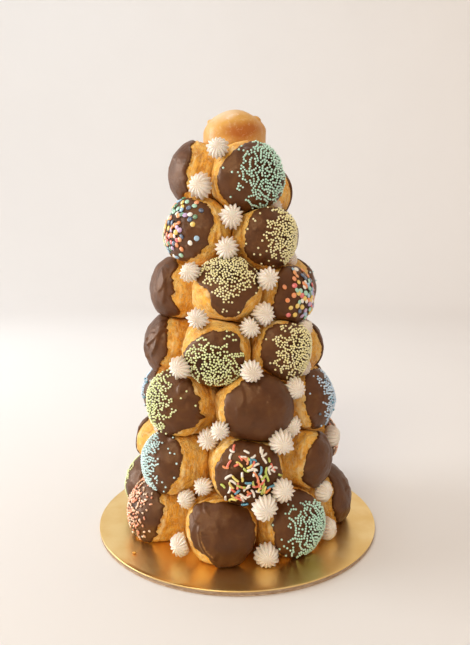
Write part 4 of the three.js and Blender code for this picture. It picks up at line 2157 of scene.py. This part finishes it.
@dataclass(frozen=True)
class CakeBoard:
    """The round board: two layers of grey card under gold foil that wraps over the rim."""

    radius: float = BOARD_RADIUS
    thickness: float = BOARD_THICKNESS
    wrap: float = 0.8
    seam: float = 1.1
    roll: float = 0.5
    tuck: float = 0.3
    groove: float = 0.9
    ripple: float = 0.18
    steps: int = 240

    def build(self) -> tuple[Shell, Array]:
        """The board as one turned shell.

        Returns:
            The shell, and for each face 0 for foil or 1 for card.
        """
        turns = around(self.steps)
        top, card, inner = self.thickness, self.radius - self.tuck, self.radius - self.groove
        stations = [(self.radius * share, top) for share in np.linspace(0.06, 0.97, 30)]
        for angle in np.linspace(0, math.pi / 2, 6):
            aside, drop = 1 - math.sin(angle), 1 - math.cos(angle)
            stations.append((self.radius - self.roll * aside, top - self.roll * drop))
        foil_rows = len(stations)
        stations += [
            (self.radius, top - self.wrap),
            (card, top - self.wrap - 0.15),
            (card, self.seam + 0.25),
            (inner, self.seam + 0.15),
            (inner, self.seam - 0.15),
            (card, self.seam - 0.25),
            (card, 0.35),
            (self.radius - 0.7, 0.0),
            (self.radius * 0.5, 0.0),
        ]
        grain = Grain(9)
        rows = []
        for radius, height in stations:
            x, y = radius * np.cos(turns), radius * np.sin(turns)
            flat = np.stack((x, y, np.zeros_like(x)), axis=-1)
            wave = self.ripple * np.minimum(grain.layers(flat * 0.025, 2), 0.0)
            rows.append(np.stack((x, y, height + wave * (height == top)), axis=-1))
        shell = Shell.lathed(np.array((0.0, 0.0, top)), np.array(rows), np.zeros(3))
        rank = np.arange(len(shell.faces)) % (len(stations) + 1)
        return shell, (rank > foil_rows).astype(int)

    def dressed(self, finishes: "Finishes") -> None:
        """Makes the board's piece.

        Args:
            finishes: The tower's materials.
        """
        shell, paints = self.build()
        piece = Piece("board", "gold_foil", ("cake_board",), (finishes.foil, finishes.card))
        piece.make(shell, paints=paints, grain=shell.points)


@dataclass(frozen=True)
class Crumbs:
    """Crumbs of crust: one on the board's left, and bits along the feet of the buns."""

    lone: tuple[float, float] = (-75.8, -69.0)
    lone_size: float = 1.5
    count: int = 46
    seed: int = 77

    def lump(self, seed: int, size: float) -> tuple[Array, Array]:
        """A rough crumb's points and triangles.

        Args:
            seed: Its seed.
            size: Its radius.

        Returns:
            The points and the triangles.
        """
        points, faces = Grains.pearl()
        rough = 1 + 0.35 * Grain(seed).at(points * 1.6 + 3)
        stretch = np.array((1.0, 0.75 + 0.25 * jitter(seed, 1), 0.6))
        return points * rough[:, None] * stretch * size, faces

    def dressed(self, buns: Sequence[Bun], finishes: "Finishes") -> None:
        """Makes the crumbs' piece.

        Args:
            buns: The buns, whose lowest ring sheds the bits.
            finishes: The tower's materials.
        """
        heap = Heap()
        points, faces = self.lump(3, self.lone_size)
        heap.add(points + (*self.lone, BOARD_THICKNESS + 0.55 * self.lone_size), faces)
        rng = np.random.default_rng(self.seed)
        low = [one for one in buns if one.name.startswith("bun_1_")]
        for k in range(self.count):
            bun = low[k % len(low)]
            turn = math.radians(rng.uniform(225, 315))
            angle = math.radians(rng.uniform(84, 112))
            way = sphere_ways(np.array([angle]), np.array([turn]))
            spot = bun.facing.outward(way * (bun.crust_reach(way) + 0.1)[:, None])[0] + bun.centre
            points, faces = self.lump(20 + k, rng.uniform(0.7, 1.7))
            spot[2] = max(spot[2], BOARD_THICKNESS + 0.9)
            heap.add(points + spot, faces)
        shell, paints = heap.merged()
        piece = Piece("crumbs", "choux", (), (finishes.choux,))
        level = np.zeros(len(shell.points))
        piece.make(shell, grain=shell.points, low=level, raised=level + 0.5)


# ---- The whole tower ----


@dataclass
class Finishes:
    """The tower's materials, made once."""

    choux: Material = field(default_factory=ChouxFinish().material)
    top: Material = field(default_factory=TopFinish().material)
    chocolate: Material = field(default_factory=ChocolateFinish().material)
    cream: Material = field(default_factory=CreamFinish().material)
    foil: Material = field(default_factory=FoilFinish().material)
    card: Material = field(default_factory=CardFinish().material)
    sugars: dict[str, Material] = field(default_factory=dict)

    def sugar(self, tint: str, washed: float) -> Material:
        """The sugar of a tint, washed out by some share.

        Args:
            tint: The tint's six-digit code.
            washed: The share.

        Returns:
            The material.
        """
        if tint not in self.sugars:
            self.sugars[tint] = SugarFinish(tint, linear(tint), washed).material()
        return self.sugars[tint]


@dataclass
class Tower:
    """The cone of buns with its cream stars."""

    buns: list[Bun] = field(default_factory=list)
    stars: list[Star] = field(default_factory=list)
    star_room: float = 0.8

    def lay_buns(self) -> None:
        """Lays the rings from the board up and sets the bare bun on top."""
        for level, ring in enumerate(RINGS):
            for k, spot in enumerate(ring.spots):
                centre = place(spot.bearing, ring.radius - spot.inset, ring.height + spot.lift)
                facing = Facing.along(spot.bearing + spot.turn, spot.tilt)
                name, seed = f"bun_{level + 1}_{k + 1}", 10 * level + k + 1
                self.buns.append(Bun(name, seed, spot, centre, facing))
        facing = Facing.along(TOP_SPOT.bearing, TOP_SPOT.tilt)
        self.buns.append(Bun("top_bun", TOP_SEED, TOP_SPOT, place(0, 0, TOP_HEIGHT), facing))
        for one in self.buns:
            one.press(self.buns)

    def ring_radius(self, height: float) -> float:
        """A ring radius for any height, between those of the rings above and below.

        Args:
            height: The height.

        Returns:
            The radius.
        """
        for below, above in zip(RINGS, RINGS[1:]):
            if below.height <= height < above.height:
                share = (height - below.height) / (above.height - below.height)
                return below.radius + share * (above.radius - below.radius)
        return RINGS[0].radius if height < RINGS[0].height else RINGS[-1].radius * 0.7

    def seated(self, spot: Sequence[float], name: str, seed: int) -> Star:
        """A star at the first place out from the ring that leaves it room.

        Args:
            spot: Its bearing, height and, if they differ, its room and size.
            name: Its piece's name.
            seed: Its seed.

        Returns:
            The star.
        """
        bearing, height = spot[:2]
        room = spot[2] if len(spot) > 2 else self.star_room
        size = spot[3] if len(spot) > 3 else 1.0
        distance = self.ring_radius(height)
        centre = place(bearing, distance, height)
        while min(one.clearance(centre) for one in self.buns) < room * size * Star.radius:
            distance += 0.5
            centre = place(bearing, distance, height)
        turned = bearing - 14 * math.sin(math.radians(2 * bearing))
        facing = Facing.along(turned + 8 * jitter(seed, 1), 5 + 8 * jitter(seed, 2))
        return Star(name, seed, centre, facing, size=size)

    def pipe_stars(self) -> None:
        """Seats all stars, the loose ones first, and finds what each one rests against."""
        for k, spot in enumerate(LOOSE_STARS, 1):
            star = self.seated(spot, f"star_{k}", 100 + k)
            star.node = f"cream_star_{k}"
            self.stars.append(star)
        for k, spot in enumerate(PIPED_STARS, 1):
            star = self.seated(spot, f"piped_star_{k}", 200 + k)
            star.host = min(self.buns, key=lambda one: one.clearance(star.centre))
            star.node = star.host.name
            self.stars.append(star)
        for star in self.stars:
            star.confine([one for one in self.buns if one is not star.host], self.stars)

    def dressed(self, finishes: Finishes) -> None:
        """Makes every bun, star and sprinkle.

        Args:
            finishes: The tower's materials.
        """
        for one in self.buns:
            one.dressed(finishes)
        for star in self.stars:
            star.dressed(finishes)
        Sprinkler(self.buns, self.stars).dressed(finishes)


@dataclass(frozen=True)
class Lamp:
    """A square soft light: where it hangs, its side in metres, its watts and its aim."""

    name: str
    at: Triple
    size: float
    power: float
    colour: Triple
    target: Triple = (0.0, 0.0, 0.16)

    def hang(self) -> None:
        """Hangs the light, turned to its target."""
        data = bpy.data.lights.new(self.name, "AREA")
        data.shape = "SQUARE"
        data.size = self.size
        data.energy = self.power
        data.color = self.colour
        lamp = bpy.data.objects.new(self.name, data)
        out = unit(np.array(self.at) - np.array(self.target))
        across = unit(np.cross(AHEAD, out))
        axes = np.stack((across, np.cross(out, across), out), axis=1)
        matrix = Matrix(axes.tolist()).to_4x4()
        matrix.translation = self.at
        lamp.matrix_world = matrix
        bpy.context.scene.collection.objects.link(lamp)


LAMPS = (
    Lamp("window", (-1.8, 0.1, 0.62), 1.1, 25.4, (0.86, 0.93, 0.98)),
    Lamp("front", (-0.9, -1.9, 1.7), 0.9, 20.2, (1.0, 0.9, 0.66)),
    Lamp("backdrop_left", (-0.4, 0.3, 2.3), 1.0, 34.0, (0.7, 0.87, 1.0), (-2.0, 2.2, 0.9)),
    Lamp("backdrop_right", (1.2, 0.4, 2.3), 1.0, 4.5, (1.0, 0.88, 0.6), (1.5, 2.4, 0.8)),
)


@dataclass(frozen=True)
class Studio:
    """A pale sheet that curves up all round, soft lights and the camera."""

    floor: float = 1.8
    curve: float = 1.2
    wall: float = 3.0
    steps: int = 96
    ambient: Colour = (1.0, 0.85, 0.77, 1.0)
    ambience: float = 0.635
    eye: Triple = (-0.0019, -0.451, 0.221)
    pitch: float = 6.8
    focal_length: float = 550
    frame_height: float = 645
    sensor: float = 36.0

    def sweep(self) -> bpy.types.Object:
        """Makes the sheet.

        Returns:
            The sheet.
        """
        turns = around(self.steps)
        stations = [(self.floor * share, 0.0) for share in (0.1, 0.3, 0.6, 0.85)]
        for angle in np.linspace(0, math.pi / 2, 12):
            out, rise = math.sin(angle), 1 - math.cos(angle)
            stations.append((self.floor + self.curve * out, self.curve * rise))
        stations.append((self.floor + self.curve, self.wall))
        rows = [
            [(radius * math.cos(t), radius * math.sin(t), height) for t in turns]
            for radius, height in stations
        ]
        shell = Shell.lathed(np.zeros(3), np.array(rows), np.zeros(3))
        last = len(shell.points) - 1
        mesh = bpy.data.meshes.new("stage_sheet")
        open_faces = [face for face in shell.faces if last not in face]
        mesh.from_pydata(shell.points[:last].tolist(), [], open_faces)
        mesh.materials.append(StageFinish().material())
        mesh.shade_smooth()
        sheet = bpy.data.objects.new("stage_sheet", mesh)
        bpy.context.scene.collection.objects.link(sheet)
        return sheet

    def lights(self) -> None:
        """Hangs the window, the front and the backdrop lights, and lights all round."""
        for lamp in LAMPS:
            lamp.hang()
        world = bpy.data.worlds.new("studio")
        world.use_nodes = True
        background = world.node_tree.nodes["Background"]
        background.inputs["Color"].default_value = self.ambient
        background.inputs["Strength"].default_value = self.ambience
        bpy.context.scene.world = world

    def camera(self) -> None:
        """Sets up the camera in front of the tower."""
        data = bpy.data.cameras.new("camera")
        data.sensor_width = self.sensor
        data.lens = self.focal_length / self.frame_height * self.sensor
        data.clip_start = 0.01
        camera = bpy.data.objects.new("camera", data)
        camera.location = self.eye
        camera.rotation_euler = (math.radians(90 - self.pitch), 0, 0)
        bpy.context.scene.collection.objects.link(camera)
        bpy.context.scene.camera = camera
        bpy.context.scene.view_settings.view_transform = "Standard"


def main() -> None:
    """Builds the tower on its board, then the studio round it."""
    logging.basicConfig(level=logging.INFO, format="%(message)s")
    finishes = Finishes()
    tower = Tower()
    tower.lay_buns()
    tower.pipe_stars()
    tower.dressed(finishes)
    CakeBoard().dressed(finishes)
    Crumbs().dressed(tower.buns, finishes)
    studio = Studio()
    studio.sweep()
    studio.lights()
    studio.camera()


if __name__ == "__main__":
    main()
